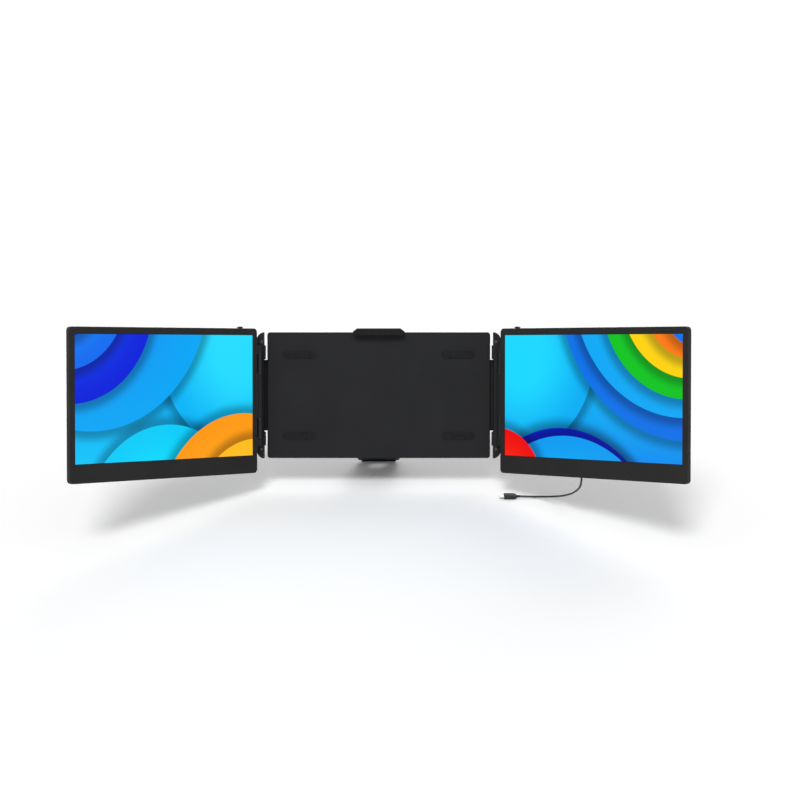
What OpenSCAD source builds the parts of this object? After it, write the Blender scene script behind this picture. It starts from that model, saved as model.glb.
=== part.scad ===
// Clamp-on screen extender for a laptop: a centre unit behind the lid, a top clip and two sliding side
// brackets that hold it on the lid, and a hinged monitor on each bracket.
//
// The unit frame has its origin where the lid's top edge meets the clip, in the middle of the lid's
// thickness: +X to the right, +Y away from the person who looks at the screens, +Z up along the lid.
// unit() leans that frame back by the lid's angle, and the model's own +Z is then true vertical.
// A monitor's own frame starts at the top of its inner edge: x outwards, y back from the front face,
// z up, so the monitor reaches down to -mon_h.

/* [Pose] */
// Backward lean of the lid and of the unit clamped to it, degrees
lean = 18; // [0:1:30]
// Forward swing of both monitors from flat, degrees
wing_yaw = 44.5; // [0:0.5:90]
// Height of the clamp point over the desk
desk_drop = 210; // [200:1:225]

/* [Lid pocket] */
// Depth of the pocket that takes the lid
pocket_t = 7; // [5:0.5:10]
// Thickness of the rubber pads that touch the lid
pad_t = 1.2; // [0.8:0.1:2]

/* [Centre unit] */
// Width of the fixed housing
housing_w = 308; // [290:1:340]
// Height of the housing and of the side brackets
housing_h = 174; // [165:1:185]
// Radius of the housing's corners
housing_r = 4; // [2:0.5:8]
// Thickness of the front panel's face and of the rear cover
shell_t = 1.8; // [1.4:0.1:2.4]
// Thickness of the housing's edge walls
edge_t = 2; // [1.6:0.1:3]
// Clear depth inside the housing
inner_t = 7.4; // [7.2:0.1:12]
// Bevel round the rear cover
rear_bevel = 1.2; // [0.4:0.1:1.6]
// Bevel round the front panel
panel_bevel = 0.8; // [0.3:0.1:1.2]
// Diameter of the screws' bosses in the housing
boss_d = 6; // [5:0.5:7]

/* [Guide rods] */
// Diameter of each rod
rod_d = 4; // [3:0.5:4]
// Length of each rod
rod_len = 105; // [102:1:108]
// Distance of the rods from the housing's top and bottom
rod_inset = 30; // [28:1:34]
// Wall of the bushings that run on the rods
bushing_wall = 0.65; // [0.5:0.05:0.7]
// Length of each bushing
bushing_len = 10; // [6:1:14]

/* [Side brackets] */
// How far each bracket stands out of the housing; 4.3 suits a lid 316 wide
bracket_out = 4.3; // [1:0.1:32]
// Width of the bracket's side wall
bracket_w = 9.6; // [9:0.1:12]
// Corner radius of the whole outline
bracket_r = 11; // [8:1:18]
// Rounding of the wall's outer edges
bracket_edge_r = 2.4; // [1:0.1:3.5]
// Thickness of the plate that slides in the housing
slide_t = 2.4; // [2:0.1:3]
// Height of the slide plate
slide_h = 98; // [80:1:100]
// Length of the slide plate and its lugs
slide_len = 96; // [80:1:98]
// Length of the lugs that ride on the rods
lug_len = 30; // [24:1:34]
// Wall of the lugs round the bushings
lug_wall = 0.7; // [0.6:0.05:0.7]
// Distance of the hooks from the top and bottom edges
hook_inset = 18; // [14:1:26]
// Height of each hook
hook_h = 19; // [12:1:24]
// Reach of each hook over the lid's bezel
hook_reach = 3; // [2:0.5:5]
// Thickness of the hooks
hook_t = 2.2; // [1.6:0.1:3]

/* [Monitors] */
// Width of the visible screen
screen_w = 292.6; // [280:0.2:296]
// Height of the visible screen
screen_h = 164.8; // [155:0.2:170]
// Bezel over the screen
bezel_top = 8.8; // [8.4:0.1:14]
// Chin under the screen
chin_h = 24; // [22:0.1:32]
// Bezel beside the screen at the hinges
bezel_in = 7.4; // [6:0.1:12]
// Bezel beside the screen at the free edge
bezel_out = 8.3; // [6:0.1:18]
// Thickness of the monitor
mon_t = 8.6; // [8.4:0.1:12]
// Corner radius of the monitor
mon_r = 5.5; // [4:0.5:9]
// Height of the monitor's top over the housing's top
mon_rise = 4.9; // [0:0.1:12]
// Thickness of the bezel's front face
front_t = 1; // [0.8:0.1:1.2]
// Small bevel round the monitor's front
front_bevel = 0.6; // [0.2:0.1:0.8]
// Depth of the bezel frame's rim
frame_t = 5; // [4.6:0.1:5.4]
// Thickness of the edge walls
mon_wall = 1.5; // [1.2:0.1:1.8]
// Thickness of the back cover's rear wall
back_t = 1.3; // [1:0.1:1.6]
// Bevel round the back cover
back_bevel = 2; // [1:0.1:2.6]
// Width of the groove between the bezel frame and the back cover
seam_gap = 0.4; // [0.2:0.05:0.6]
// Depth of that groove
seam_in = 0.6; // [0.3:0.1:0.9]
// Thickness of the display panel
panel_t = 2.6; // [2:0.1:2.7]
// Blind border of the display panel behind the bezel
panel_border = 2.5; // [1.5:0.1:3]

/* [Monitor hinges] */
// Distance from a hinge axis to the monitor's inner edge
hinge_gap = 5; // [4.8:0.1:7]
// Right hinge axis: distance outwards from the wall's inner face
right_axis_out = 8.35; // [7.8:0.05:11]
// Right hinge axis: depth behind the monitor's front face
right_axis_depth = 6; // [5:0.1:6.5]
// Left hinge axis: distance outwards from the wall's inner face
left_axis_out = 4.5; // [4.2:0.1:6]
// Left hinge axis: depth behind the monitor's front face
left_axis_depth = 0.5; // [0:0.1:1.5]
// Radius of the hinge barrels
barrel_r = 3.6; // [3.2:0.1:3.9]
// Diameter of the hinge pins
hinge_pin_d = 3; // [2.5:0.1:3.5]
// Height of each hinge leaf's knuckle
knuckle_h = 26; // [20:1:34]
// Distance of the knuckles from the housing's top and bottom
knuckle_inset = 30; // [28:1:36]
// Distance of the hinge bar's ends from the housing's top and bottom
bar_inset = 18; // [16:1:20]
// Space between the folded right monitor and the hooks
fold_gap = 0.6; // [0.4:0.1:2]
// Space between the two folded monitors
stack_gap = 0.8; // [0.5:0.1:2]
// Thickness of a leaf's arm
arm_t = 3.2; // [2.4:0.1:3.2]
// Thickness of a leaf's plate inside the monitor
leaf_t = 1.2; // [1:0.1:1.4]
// Length of a leaf's plate inside the monitor
leaf_len = 30; // [20:1:40]

/* [Sockets] */
// Distance of the first USB-C socket from the monitor's inner edge
port_x = 137; // [90:1:200]
// Spacing of the sockets
port_pitch = 15; // [13.5:0.5:20]
// Height of the bay under the sockets
bay_h = 18.5; // [17:0.5:19]

/* [Menu button] */
// Distance of the button from the monitor's inner edge
button_x = 28; // [20:1:60]
// Length of the button
button_w = 10; // [6:0.5:14]
// Height of the button over the monitor's edge
button_rise = 2.5; // [1:0.1:3]
// Travel of the button
button_travel = 0.6; // [0.3:0.1:0.7]

/* [Top clip] */
// Width of the clip's top
clip_top_w = 60; // [50:1:70]
// Width of the clip's base
clip_base_w = 71.5; // [60:0.5:90]
// Height of the clip over the lid
clip_rise = 5.3; // [4:0.1:9]
// Reach of the clip's lip down over the lid's bezel
clip_lip = 4.8; // [3:0.1:8]
// Width of the stem that slides in the housing
stem_w = 40; // [34:1:50]
// Length of the stem below the lid's top edge
stem_len = 60; // [56:1:66]
// Travel of the clip
clip_travel = 20; // [10:1:20]

/* [Kickstand] */
// Width of the leg
stand_w = 70; // [60:1:90]
// Width of the leg at its foot
stand_tip_w = 58; // [46:1:70]
// Length from the hinge axis to the middle of the foot
stand_len = 92; // [80:1:130]
// Thickness of the leg
stand_t = 3.6; // [3:0.1:4.4]
// Height of the hinge axis over the housing's bottom
stand_axis_up = 12; // [9:1:24]
// Radius of the leg's knuckle
stand_knuckle_r = 3; // [2.6:0.1:3.4]
// Diameter of the kickstand's pin
stand_pin_d = 3; // [2:0.1:3.2]
// Radius of the rubber foot
foot_r = 3.4; // [2.8:0.1:4.5]
// Width of the finger hole
finger_w = 24; // [20:1:30]
// Height of the finger hole
finger_h = 10; // [8:0.5:12]
// Distance of the finger hole from the foot
finger_in = 11; // [9:0.5:14]

/* [Clearances] */
// Radial running clearance of a pin or rod
run_gap = 0.05; // [0.01:0.01:0.1]
// Gap between parts that slide or swing past each other
slide_gap = 0.3; // [0.3:0.05:0.5]
// Gap between fixed parts that locate each other
locate_gap = 0.15; // [0.05:0.05:0.3]

/* [Hidden] */

$fn = 48;
eps = 0.01;
LEFT = -1;
RIGHT = 1;

// Colours
soft_black = "#26262a";
frame_black = "#2e2e30";
rubber_black = "#18181a";
steel = "#b9bcc0";
dark_steel = "#2b2c2f";
board_green = "#1f5a3c";
cable_grey = "#3a3b3f";

// Places in the depth of the centre unit
pad_face = pocket_t / 2;
panel_front = pad_face + pad_t;
cavity_front = panel_front + shell_t;
cavity_mid = cavity_front + inner_t / 2;
cavity_back = cavity_front + inner_t;
rear_face = cavity_back + shell_t;
hook_back = -(pocket_t / 2 + pad_t);
wall_front = hook_back - hook_t;

// Places across the unit
wall_in = housing_w / 2 + bracket_out;
wall_out = wall_in + bracket_w;
slide_end = wall_in - slide_len;
rod_end = housing_w / 2 - edge_t;
rod_start = rod_end - rod_len;
holder_w = 6;
holder_h = 8;

// Monitors
mon_w = bezel_in + screen_w + bezel_out;
mon_h = bezel_top + screen_h + chin_h;
cavity_floor = mon_t - back_t;
panel_back = front_t + panel_t;
right_axis_x = wall_in + right_axis_out;
right_axis_y = wall_front - fold_gap - right_axis_depth;
left_axis_x = wall_in + left_axis_out;
left_axis_y = wall_front - fold_gap - mon_t - stack_gap - left_axis_depth;
neck_w = 4.8;

// Each hinge leaf lies behind the display panel
leaf_front = panel_back + slide_gap;
leaf_back = leaf_front + leaf_t;
leaf_screw_x = [10, 24];
knuckle_tops = [-knuckle_inset, -(housing_h - knuckle_inset - knuckle_h)];

// Controller board and sockets
board_t = 1;
board_front = leaf_back - 0.1;
board_mid = board_front + board_t / 2;
bay_top = -mon_h + bay_h;
bay_lining = 1.2;
bay_side = 9;
bay_w = 2 * bay_side + 2 * port_pitch + 2;
usb_w = 8.94;
usb_h = 3.2;
usb_depth = 7.3;
hdmi_w = 11.2;
plug_w = 11;
plug_t = 6;
plug_r = 1.8;
plug_len = 12.5;
plug_shoulder = 4;
shoulder_in = 1.1;
relief_len = 4.5;
tongue_len = 6;

// Kickstand: the leg meets the desk, whatever the lean
stand_axis_y = rear_face + 0.4 + stand_knuckle_r;
stand_axis_z = -housing_h + stand_axis_up;
stand_hinge_height = stand_axis_z * cos(lean) - stand_axis_y * sin(lean) + desk_drop;
stand_drop = asin((stand_hinge_height - foot_r) / stand_len);
stand_open = 90 + stand_drop - lean;
stand_lug_w = 8;
stand_lug_in = 22;

// Lead from the right monitor down to the desk, in the model's own upright frame
cord_d = 2.6;
cord_sides = 8;
cord_route = [
    [267.6, -166.7, -146.2], [267.1, -169, -153], [266.3, -168, -159.4], [264.8, -161.5, -166.5],
    [262.2, -149.5, -175.2], [258.7, -135.5, -184.1], [254.2, -120.5, -192.4], [247.2, -106.5, -199.8],
    [236.2, -95.6, -205.2], [222, -89.4, -207.9], [207.4, -88.8, -208], [192.4, -90, -207]
];
cord_rings_per_leg = 3;

// ---------------------------------------------------------------- frames

module unit() {
    rotate([-lean, 0, 0]) children();
}

module on_side(side) {
    if (side == LEFT) {
        mirror([1, 0, 0]) children();
    } else {
        children();
    }
}

function axis_x(side) = side == LEFT ? left_axis_x : right_axis_x;
function axis_y(side) = side == LEFT ? left_axis_y : right_axis_y;
function axis_depth(side) = side == LEFT ? left_axis_depth : right_axis_depth;

module at_hinge(side) {
    unit() on_side(side) translate([axis_x(side), axis_y(side), 0]) rotate([0, 0, -wing_yaw]) children();
}

module in_monitor(side) {
    at_hinge(side) translate([hinge_gap, -axis_depth(side), mon_rise]) children();
}

// ---------------------------------------------------------------- shared shapes

module rounded_rect(w, h, r) {
    translate([r, 0]) square([w - 2 * r, h]);
    translate([0, r]) square([w, h - 2 * r]);
    for (x = [r, w - r], y = [r, h - r]) {
        translate([x, y]) circle(r);
    }
}

// Upright slab: x from 0 to w, z from -h to 0, y from 0 to t
module slab(w, h, t, r) {
    translate([0, t, -h]) rotate([90, 0, 0]) linear_extrude(t) rounded_rect(w, h, r);
}

// The same slab with its edges inset by in0 at y = 0 and by in1 at y = t
module bevel_slab(w, h, t, r, in0, in1) {
    translate([r, 0, 0]) rotate([90, 0, 90]) linear_extrude(w - 2 * r)
        polygon([[0, -in0], [t, -in1], [t, in1 - h], [0, in0 - h]]);
    translate([0, 0, r - h]) linear_extrude(h - 2 * r)
        polygon([[in0, 0], [in1, t], [w - in1, t], [w - in0, 0]]);
    for (x = [r, w - r], z = [-r, r - h]) {
        translate([x, 0, z]) rotate([-90, 0, 0]) cylinder(h = t, r1 = r - in0, r2 = r - in1);
    }
}

// Flat bar with round ends, centred, in the X-Y plane
module stadium(w, h) {
    square([w - h, h], center = true);
    for (x = [-1, 1]) {
        translate([x * (w - h) / 2, 0]) circle(h / 2);
    }
}

// Cylinder along +Y
module rod_y(d, len) {
    rotate([-90, 0, 0]) cylinder(h = len, d = d);
}

// Cylinder along +X
module rod_x(d, len) {
    rotate([0, 90, 0]) cylinder(h = len, d = d);
}

// Countersunk screw: its flat head lies at y = 0 and it points along -Y
module flat_screw(head_d, head_h, shank_d, len) {
    rotate([90, 0, 0]) {
        cylinder(h = head_h, d1 = head_d, d2 = shank_d);
        cylinder(h = len, d = shank_d);
    }
}

// Round tube swept along a list of points
function unit_of(v) = v / norm(v);
function tangent(p, i) =
    i == 0 ? unit_of(p[1] - p[0]) :
    i == len(p) - 1 ? unit_of(p[i] - p[i - 1]) :
    unit_of(p[i + 1] - p[i - 1]);
function side_of(t, hint) = unit_of(cross(hint, t));

module sweep(p, d, sides, hint) {
    rings = [
        for (i = [0 : len(p) - 1])
            let (t = tangent(p, i), u = side_of(t, hint), v = cross(t, u))
            for (k = [0 : sides - 1])
                p[i] + (u * cos(360 * k / sides) + v * sin(360 * k / sides)) * d / 2
    ];
    last = (len(p) - 1) * sides;
    faces = concat(
        [[for (k = [0 : sides - 1]) k]],
        [[for (k = [0 : sides - 1]) last + sides - 1 - k]],
        [
            for (i = [0 : len(p) - 2], k = [0 : sides - 1])
                let (a = i * sides + k, b = i * sides + (k + 1) % sides)
                each [[a, a + sides, b], [b, a + sides, b + sides]]
        ]
    );
    polyhedron(points = rings, faces = faces, convexity = 6);
}

// Smooth curve through a list of points
function curve_point(a, b, c, d, t) =
    0.5 * (2 * b + (c - a) * t + (2 * a - 5 * b + 4 * c - d) * t * t + (3 * b - a - 3 * c + d) * t * t * t);
function smooth(p, steps) = concat(
    [
        for (i = [0 : len(p) - 2], s = [0 : steps - 1])
            curve_point(p[max(i - 1, 0)], p[i], p[i + 1], p[min(i + 2, len(p) - 1)], s / steps)
    ],
    [p[len(p) - 1]]
);

// ---------------------------------------------------------------- centre unit

boss_x = 120;
boss_inset = 10;
mid_boss_x = 40;
screw_d = 2.2;
screw_head_d = 4.6;
screw_head_h = 1.2;
screw_len = 7;
cover_screw_places = [
    [-boss_x, -boss_inset], [boss_x, -boss_inset],
    [-boss_x, boss_inset - housing_h], [boss_x, boss_inset - housing_h],
    [-mid_boss_x, -housing_h / 2], [mid_boss_x, -housing_h / 2]
];
rod_heights = [-rod_inset, rod_inset - housing_h];
rail_w = 4;
spring_d = 6;
spring_wire = 0.8;
spring_turns = 9;
spring_post_h = 4;
spring_top = -14;
window_w = 10;
window_low = -(stem_len - 6);

module rod_holder(z) {
    translate([rod_start, cavity_front - eps, z - holder_h / 2])
        cube([holder_w, inner_t + eps, holder_h]);
    translate([rod_end - holder_w, cavity_front - eps, z - holder_h / 2])
        cube([holder_w + eps, inner_t + eps, holder_h]);
}

module clip_guide() {
    translate([stem_w / 2 + slide_gap, cavity_front - eps, -stem_len - 4])
        cube([3, inner_t + eps, stem_len + 4 - edge_t + eps]);
}

module centre_front_panel() unit() color(soft_black) {
    difference() {
        union() {
            difference() {
                union() {
                    translate([-housing_w / 2, panel_front, 0])
                        bevel_slab(housing_w, housing_h, panel_bevel, housing_r, panel_bevel, 0);
                    translate([-housing_w / 2, panel_front + panel_bevel, 0])
                        slab(housing_w, housing_h, cavity_back - panel_front - panel_bevel, housing_r);
                }
                translate([edge_t - housing_w / 2, cavity_front, -edge_t])
                    slab(housing_w - 2 * edge_t, housing_h - 2 * edge_t, inner_t + 1, housing_r - edge_t + 1);
            }
            for (p = cover_screw_places) {
                translate([p[0], cavity_front - eps, p[1]]) rod_y(boss_d, inner_t + eps);
            }
            for (side = [LEFT, RIGHT]) on_side(side) {
                for (z = rod_heights) rod_holder(z);
                clip_guide();
            }
            // Post that the clip's spring pushes against
            translate([-window_w / 2 + slide_gap, cavity_front - eps, spring_top])
                cube([window_w - 2 * slide_gap, inner_t - slide_gap, spring_post_h]);
        }
        for (p = cover_screw_places) {
            translate([p[0], cavity_front, p[1]]) rod_y(screw_d, inner_t + 1);
        }
        for (side = [LEFT, RIGHT]) on_side(side) {
            for (z = rod_heights) {
                translate([rod_start, cavity_mid, z]) rod_x(rod_d, rod_len);
            }
            // Mouth for the bracket's slide plate
            translate([
                rod_end - 1, cavity_mid - slide_t / 2 - slide_gap, -(housing_h + slide_h) / 2 - slide_gap
            ])
                cube([edge_t + 2, slide_t + 2 * slide_gap, slide_h + 2 * slide_gap]);
        }
        // Mouth for the clip's stem
        translate([-stem_w / 2 - slide_gap, cavity_front, -edge_t - 1])
            cube([stem_w + 2 * slide_gap, inner_t + 1, edge_t + 2]);
    }
}

module centre_rear_cover() unit() color(soft_black) {
    difference() {
        union() {
            translate([-housing_w / 2, cavity_back, 0])
                slab(housing_w, housing_h, shell_t - rear_bevel, housing_r);
            translate([-housing_w / 2, rear_face - rear_bevel, 0])
                bevel_slab(housing_w, housing_h, rear_bevel, housing_r, 0, rear_bevel);
            for (side = [LEFT, RIGHT]) on_side(side) translate([stand_lug_in, 0, 0]) stand_lug();
        }
        for (p = cover_screw_places) {
            translate([p[0], rear_face, p[1]]) flat_screw(screw_head_d, screw_head_h, screw_d, shell_t + 1);
        }
        translate([-stand_lug_in - stand_lug_w - 1, stand_axis_y, stand_axis_z])
            rod_x(stand_pin_d, 2 * (stand_lug_in + stand_lug_w + 1));
    }
}

module stand_lug() {
    translate([0, stand_axis_y, stand_axis_z]) rod_x(2 * stand_knuckle_r + 0.6, stand_lug_w);
    translate([0, rear_face - shell_t / 2, stand_axis_z - stand_knuckle_r - 2])
        rotate([90, 0, 90]) linear_extrude(stand_lug_w) polygon([
            [0, 0], [0, 2 * stand_knuckle_r + 4],
            [stand_axis_y - rear_face + shell_t / 2 + 1, stand_knuckle_r * 2 + 1.2],
            [stand_axis_y - rear_face + shell_t / 2 + 1, 2.8]
        ]);
}

module guide_rods() unit() color(steel) {
    for (side = [LEFT, RIGHT]) on_side(side) {
        for (z = rod_heights) {
            translate([rod_start, cavity_mid, z]) rod_x(rod_d, rod_len);
        }
    }
}

lid_pad_w = 46;
lid_pad_h = 10;
lid_pad_x = 110;
lid_pad_inset = 31;

module lid_pads() unit() color(rubber_black) {
    for (x = [-lid_pad_x, lid_pad_x], z = [-lid_pad_inset, lid_pad_inset - housing_h]) {
        translate([x, panel_front, z]) rotate([90, 0, 0]) linear_extrude(pad_t)
            stadium(lid_pad_w, lid_pad_h);
    }
}

module rear_cover_screws() unit() color(steel) {
    for (p = cover_screw_places) {
        translate([p[0], rear_face, p[1]]) flat_screw(screw_head_d, screw_head_h, screw_d, screw_len);
    }
}

module stand_hinge_pin() unit() color(steel) {
    translate([-stand_lug_in - stand_lug_w, stand_axis_y, stand_axis_z])
        rod_x(stand_pin_d, 2 * (stand_lug_in + stand_lug_w));
}

module clip_spring() unit() color(steel) {
    turn_r = (spring_d - spring_wire) / 2;
    low = window_low + spring_wire / 2;
    high = spring_top - spring_wire / 2;
    steps = 12;
    helix = [
        for (i = [0 : spring_turns * steps])
            [turn_r * cos(i * 360 / steps), cavity_mid + turn_r * sin(i * 360 / steps),
             low + (high - low) * i / (spring_turns * steps)]
    ];
    sweep(helix, spring_wire, 6, [0, 0, 1]);
}

// ---------------------------------------------------------------- top clip

clip_pad_t = 0.8;
clip_front = hook_back - hook_t;
clip_underside = clip_pad_t + 0.2;

module clip_side_profile() {
    polygon([
        [rear_face, 0.4], [rear_face, clip_rise - 1.6], [rear_face - 1.6, clip_rise],
        [clip_front + 1.6, clip_rise], [clip_front, clip_rise - 1.6], [clip_front, -clip_lip + 0.8],
        [clip_front + 0.8, -clip_lip], [hook_back, -clip_lip], [hook_back, clip_underside],
        [pad_face + 0.4, clip_underside], [pad_face + 0.4, 0.4]
    ]);
}

module clip_front_outline() {
    half_top = clip_top_w / 2;
    half_base = clip_base_w / 2;
    polygon([
        [-half_top, clip_rise], [half_top, clip_rise], [half_base, 0.6], [half_base, -0.4],
        [half_base - clip_lip, -clip_lip], [clip_lip - half_base, -clip_lip],
        [-half_base, -0.4], [-half_base, 0.6]
    ]);
}

module top_clip() unit() color(soft_black) {
    intersection() {
        translate([-clip_base_w / 2, 0, 0]) rotate([90, 0, 90]) linear_extrude(clip_base_w)
            clip_side_profile();
        translate([0, rear_face + 1, 0]) rotate([90, 0, 0]) linear_extrude(rear_face - clip_front + 2)
            clip_front_outline();
    }
    difference() {
        translate([-stem_w / 2, cavity_mid - slide_t / 2, -stem_len])
            cube([stem_w, slide_t, stem_len + 1]);
        translate([-window_w / 2, cavity_front, window_low])
            cube([window_w, inner_t, spring_top + spring_post_h + 2 - window_low]);
    }
    for (x = [-stem_w / 2, stem_w / 2 - rail_w]) {
        translate([x, cavity_front + slide_gap, -stem_len])
            cube([rail_w, inner_t - 2 * slide_gap, stem_len + 1]);
    }
}

module top_clip_pad() unit() color(rubber_black) {
    pad_w = clip_top_w - 4;
    translate([-pad_w / 2, 0, 0]) rotate([90, 0, 90]) linear_extrude(pad_w) polygon([
        [hook_back, -clip_lip + 0.4], [hook_back, clip_underside], [pad_face, clip_underside],
        [pad_face, clip_underside - clip_pad_t], [hook_back + clip_pad_t, clip_underside - clip_pad_t],
        [hook_back + clip_pad_t, -clip_lip + 0.4]
    ]);
}

// ---------------------------------------------------------------- kickstand

module on_stand() {
    unit() translate([0, stand_axis_y, stand_axis_z]) rotate([-stand_open, 0, 0]) children();
}

module kickstand_leg() on_stand() color(soft_black) {
    knuckle_w = 2 * (stand_lug_in - slide_gap);
    shoulder = stand_knuckle_r + 3;
    tip = stand_len;
    panel_end = tip - finger_in - finger_h;
    difference() {
        union() {
            translate([-knuckle_w / 2, 0, 0]) rod_x(2 * stand_knuckle_r, knuckle_w);
            translate([-knuckle_w / 2, -stand_t / 2, 0]) cube([knuckle_w, stand_t, shoulder + 1]);
            translate([0, stand_t / 2, 0]) rotate([90, 0, 0]) linear_extrude(stand_t) polygon([
                [-knuckle_w / 2, shoulder], [-stand_w / 2, shoulder + 5], [-stand_w / 2, shoulder + 16],
                [-stand_tip_w / 2, tip - 6], [4 - stand_tip_w / 2, tip],
                [stand_tip_w / 2 - 4, tip], [stand_tip_w / 2, tip - 6],
                [stand_w / 2, shoulder + 16], [stand_w / 2, shoulder + 5], [knuckle_w / 2, shoulder]
            ]);
        }
        translate([-knuckle_w / 2 - 1, 0, 0]) rod_x(stand_pin_d + 2 * run_gap, knuckle_w + 2);
        // Shallow panel on the face that shows when the leg is folded
        translate([0, stand_t / 2 + 1, 0]) rotate([90, 0, 0]) linear_extrude(1.8) polygon([
            [-stand_w / 2 + 9, shoulder + 12], [stand_w / 2 - 9, shoulder + 12],
            [stand_tip_w / 2 - 7, panel_end], [7 - stand_tip_w / 2, panel_end]
        ]);
        // Finger hole
        translate([0, stand_t, tip - finger_in]) rotate([90, 0, 0]) linear_extrude(2 * stand_t)
            stadium(finger_w, finger_h);
    }
}

module kickstand_foot() on_stand() color(rubber_black) {
    foot_w = stand_tip_w - 9;
    difference() {
        translate([-foot_w / 2, 0, stand_len]) rod_x(2 * foot_r, foot_w);
        translate([-foot_w / 2 - 1, -stand_t / 2, stand_len - foot_r - 1])
            cube([foot_w + 2, stand_t, foot_r + 1]);
    }
}

// ---------------------------------------------------------------- side brackets

bracket_screw_d = 2;
bracket_screw_head = 4;
bracket_screw_head_h = 1;
bracket_screw_len = 9;
bracket_screw_x = 2.8;
bracket_screw_inset = 13;

module wall_section() {
    depth = rear_face - wall_front;
    r = bracket_edge_r;
    translate([wall_in, wall_front]) {
        square([bracket_w - r, depth]);
        translate([0, r]) square([bracket_w, depth - 2 * r]);
        for (y = [r, depth - r]) {
            translate([bracket_w - r, y]) circle(r);
        }
    }
}

module bar_section(side) {
    x = axis_x(side);
    y = axis_y(side);
    inner = side == LEFT ? barrel_r : barrel_r + 0.7;
    translate([x, y]) circle(barrel_r);
    translate([x - inner, y]) square([neck_w, wall_front - y + 1]);
}

module slide_lug(z) {
    towards_plate = z > -housing_h / 2 ? -1 : 1;
    gap = abs((housing_h - slide_h) / 2 - rod_inset) + 1;
    translate([slide_end, cavity_mid, z]) rod_x(lug_d(), lug_len);
    translate([slide_end, cavity_mid - slide_t / 2, towards_plate < 0 ? z - gap : z])
        cube([lug_len, slide_t, gap]);
}

function bushing_d() = rod_d + 2 * run_gap + 2 * bushing_wall;
function lug_d() = bushing_d() + 2 * lug_wall;

module bracket(side) unit() on_side(side) color(soft_black) {
    bar_h = housing_h - 2 * bar_inset;
    difference() {
        union() {
            intersection() {
                translate([0, 0, -housing_h]) linear_extrude(housing_h) wall_section();
                translate([-wall_out, wall_front - 1, 0])
                    slab(2 * wall_out, housing_h, rear_face - wall_front + 2, bracket_r);
            }
            translate([0, 0, -housing_h + bar_inset]) linear_extrude(bar_h) bar_section(side);
            for (z = [-hook_inset - hook_h, hook_inset - housing_h]) {
                translate([wall_in - hook_reach, wall_front, z]) cube([hook_reach + 1, hook_t, hook_h]);
            }
            translate([slide_end, cavity_mid - slide_t / 2, -(housing_h + slide_h) / 2])
                cube([slide_len + 1, slide_t, slide_h]);
            for (z = rod_heights) slide_lug(z);
        }
        for (z = rod_heights) {
            translate([slide_end - 1, cavity_mid, z]) rod_x(bushing_d(), lug_len + 2);
        }
        for (top = knuckle_tops) {
            translate([axis_x(side) - 9, axis_y(side) - 9, top - knuckle_h - slide_gap])
                cube([18, wall_front - axis_y(side) + 9, knuckle_h + 2 * slide_gap]);
        }
        hinge_pin_places(side) cylinder(h = pin_len(), d = hinge_pin_d);
        for (z = [-bracket_screw_inset, bracket_screw_inset - housing_h]) {
            translate([wall_in + bracket_screw_x, wall_front, z]) mirror([0, 1, 0])
                flat_screw(bracket_screw_head, bracket_screw_head_h, bracket_screw_d, bracket_screw_len);
        }
    }
}

// Each pin runs from the end of the hinge bar through a knuckle into the middle of the bar
pin_hold = 9;
function pin_len() = knuckle_inset - bar_inset + knuckle_h + pin_hold;

module hinge_pin_places(side) {
    translate([axis_x(side), axis_y(side), -bar_inset - pin_len()]) children();
    translate([axis_x(side), axis_y(side), bar_inset - housing_h]) children();
}

module hinge_pins(side) unit() on_side(side) color(steel) {
    hinge_pin_places(side) cylinder(h = pin_len(), d = hinge_pin_d);
}

module hook_pads(side) unit() on_side(side) color(rubber_black) {
    for (z = [-hook_inset - hook_h + 1, hook_inset - housing_h + 1]) {
        translate([wall_in - hook_reach + 0.3, hook_back, z]) cube([hook_reach - 0.3, pad_t, hook_h - 2]);
    }
}

module bushings(side) unit() on_side(side) color("#d9d6c8") {
    for (z = rod_heights, x = [slide_end, slide_end + lug_len - bushing_len]) {
        translate([x, cavity_mid, z]) difference() {
            rod_x(bushing_d(), bushing_len);
            translate([-1, 0, 0]) rod_x(rod_d + 2 * run_gap, bushing_len + 2);
        }
    }
}

module bracket_screws(side) unit() on_side(side) color(steel) {
    for (z = [-bracket_screw_inset, bracket_screw_inset - housing_h]) {
        translate([wall_in + bracket_screw_x, wall_front, z]) mirror([0, 1, 0])
            flat_screw(bracket_screw_head, bracket_screw_head_h, bracket_screw_d, bracket_screw_len);
    }
}

// ---------------------------------------------------------------- monitors

frame_boss_d = 4;
mon_screw_d = 1.6;
mon_screw_head = 3.4;
mon_screw_head_h = 0.8;
mon_screw_len = 6;
front_skin = 0.6;
top_boss_inset = 3.9;
low_boss_inset = 9;
top_screw_in = 60;
low_screw_in = 20;
bay_screw_gap = 23.8;
bay_left = port_x - bay_side - bay_lining;
bay_right = bay_left + bay_w + 2 * bay_lining;
function mon_screw_places() = [
    [top_screw_in, -top_boss_inset], [mon_w - top_screw_in, -top_boss_inset],
    [low_screw_in, low_boss_inset - mon_h], [bay_left - bay_screw_gap, low_boss_inset - mon_h],
    [bay_right + bay_screw_gap, low_boss_inset - mon_h], [mon_w - low_screw_in, low_boss_inset - mon_h]
];

module arm_slots() {
    for (top = knuckle_tops) {
        translate([-1, leaf_front - locate_gap, top - mon_rise - knuckle_h - locate_gap])
            cube([cover_rim() + 2, arm_t + 2 * locate_gap, knuckle_h + 2 * locate_gap]);
    }
}

function cover_rim() = mon_wall + locate_gap + 1;

module button_slot() {
    translate([button_x, button_y, -cover_rim() - 1]) linear_extrude(cover_rim() + 2)
        stadium(button_w - 2 + 2 * slide_gap, button_stem_t + 2 * slide_gap);
}

button_y = 3.4;
button_stem_t = 2.4;
button_cap_t = 4;

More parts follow.
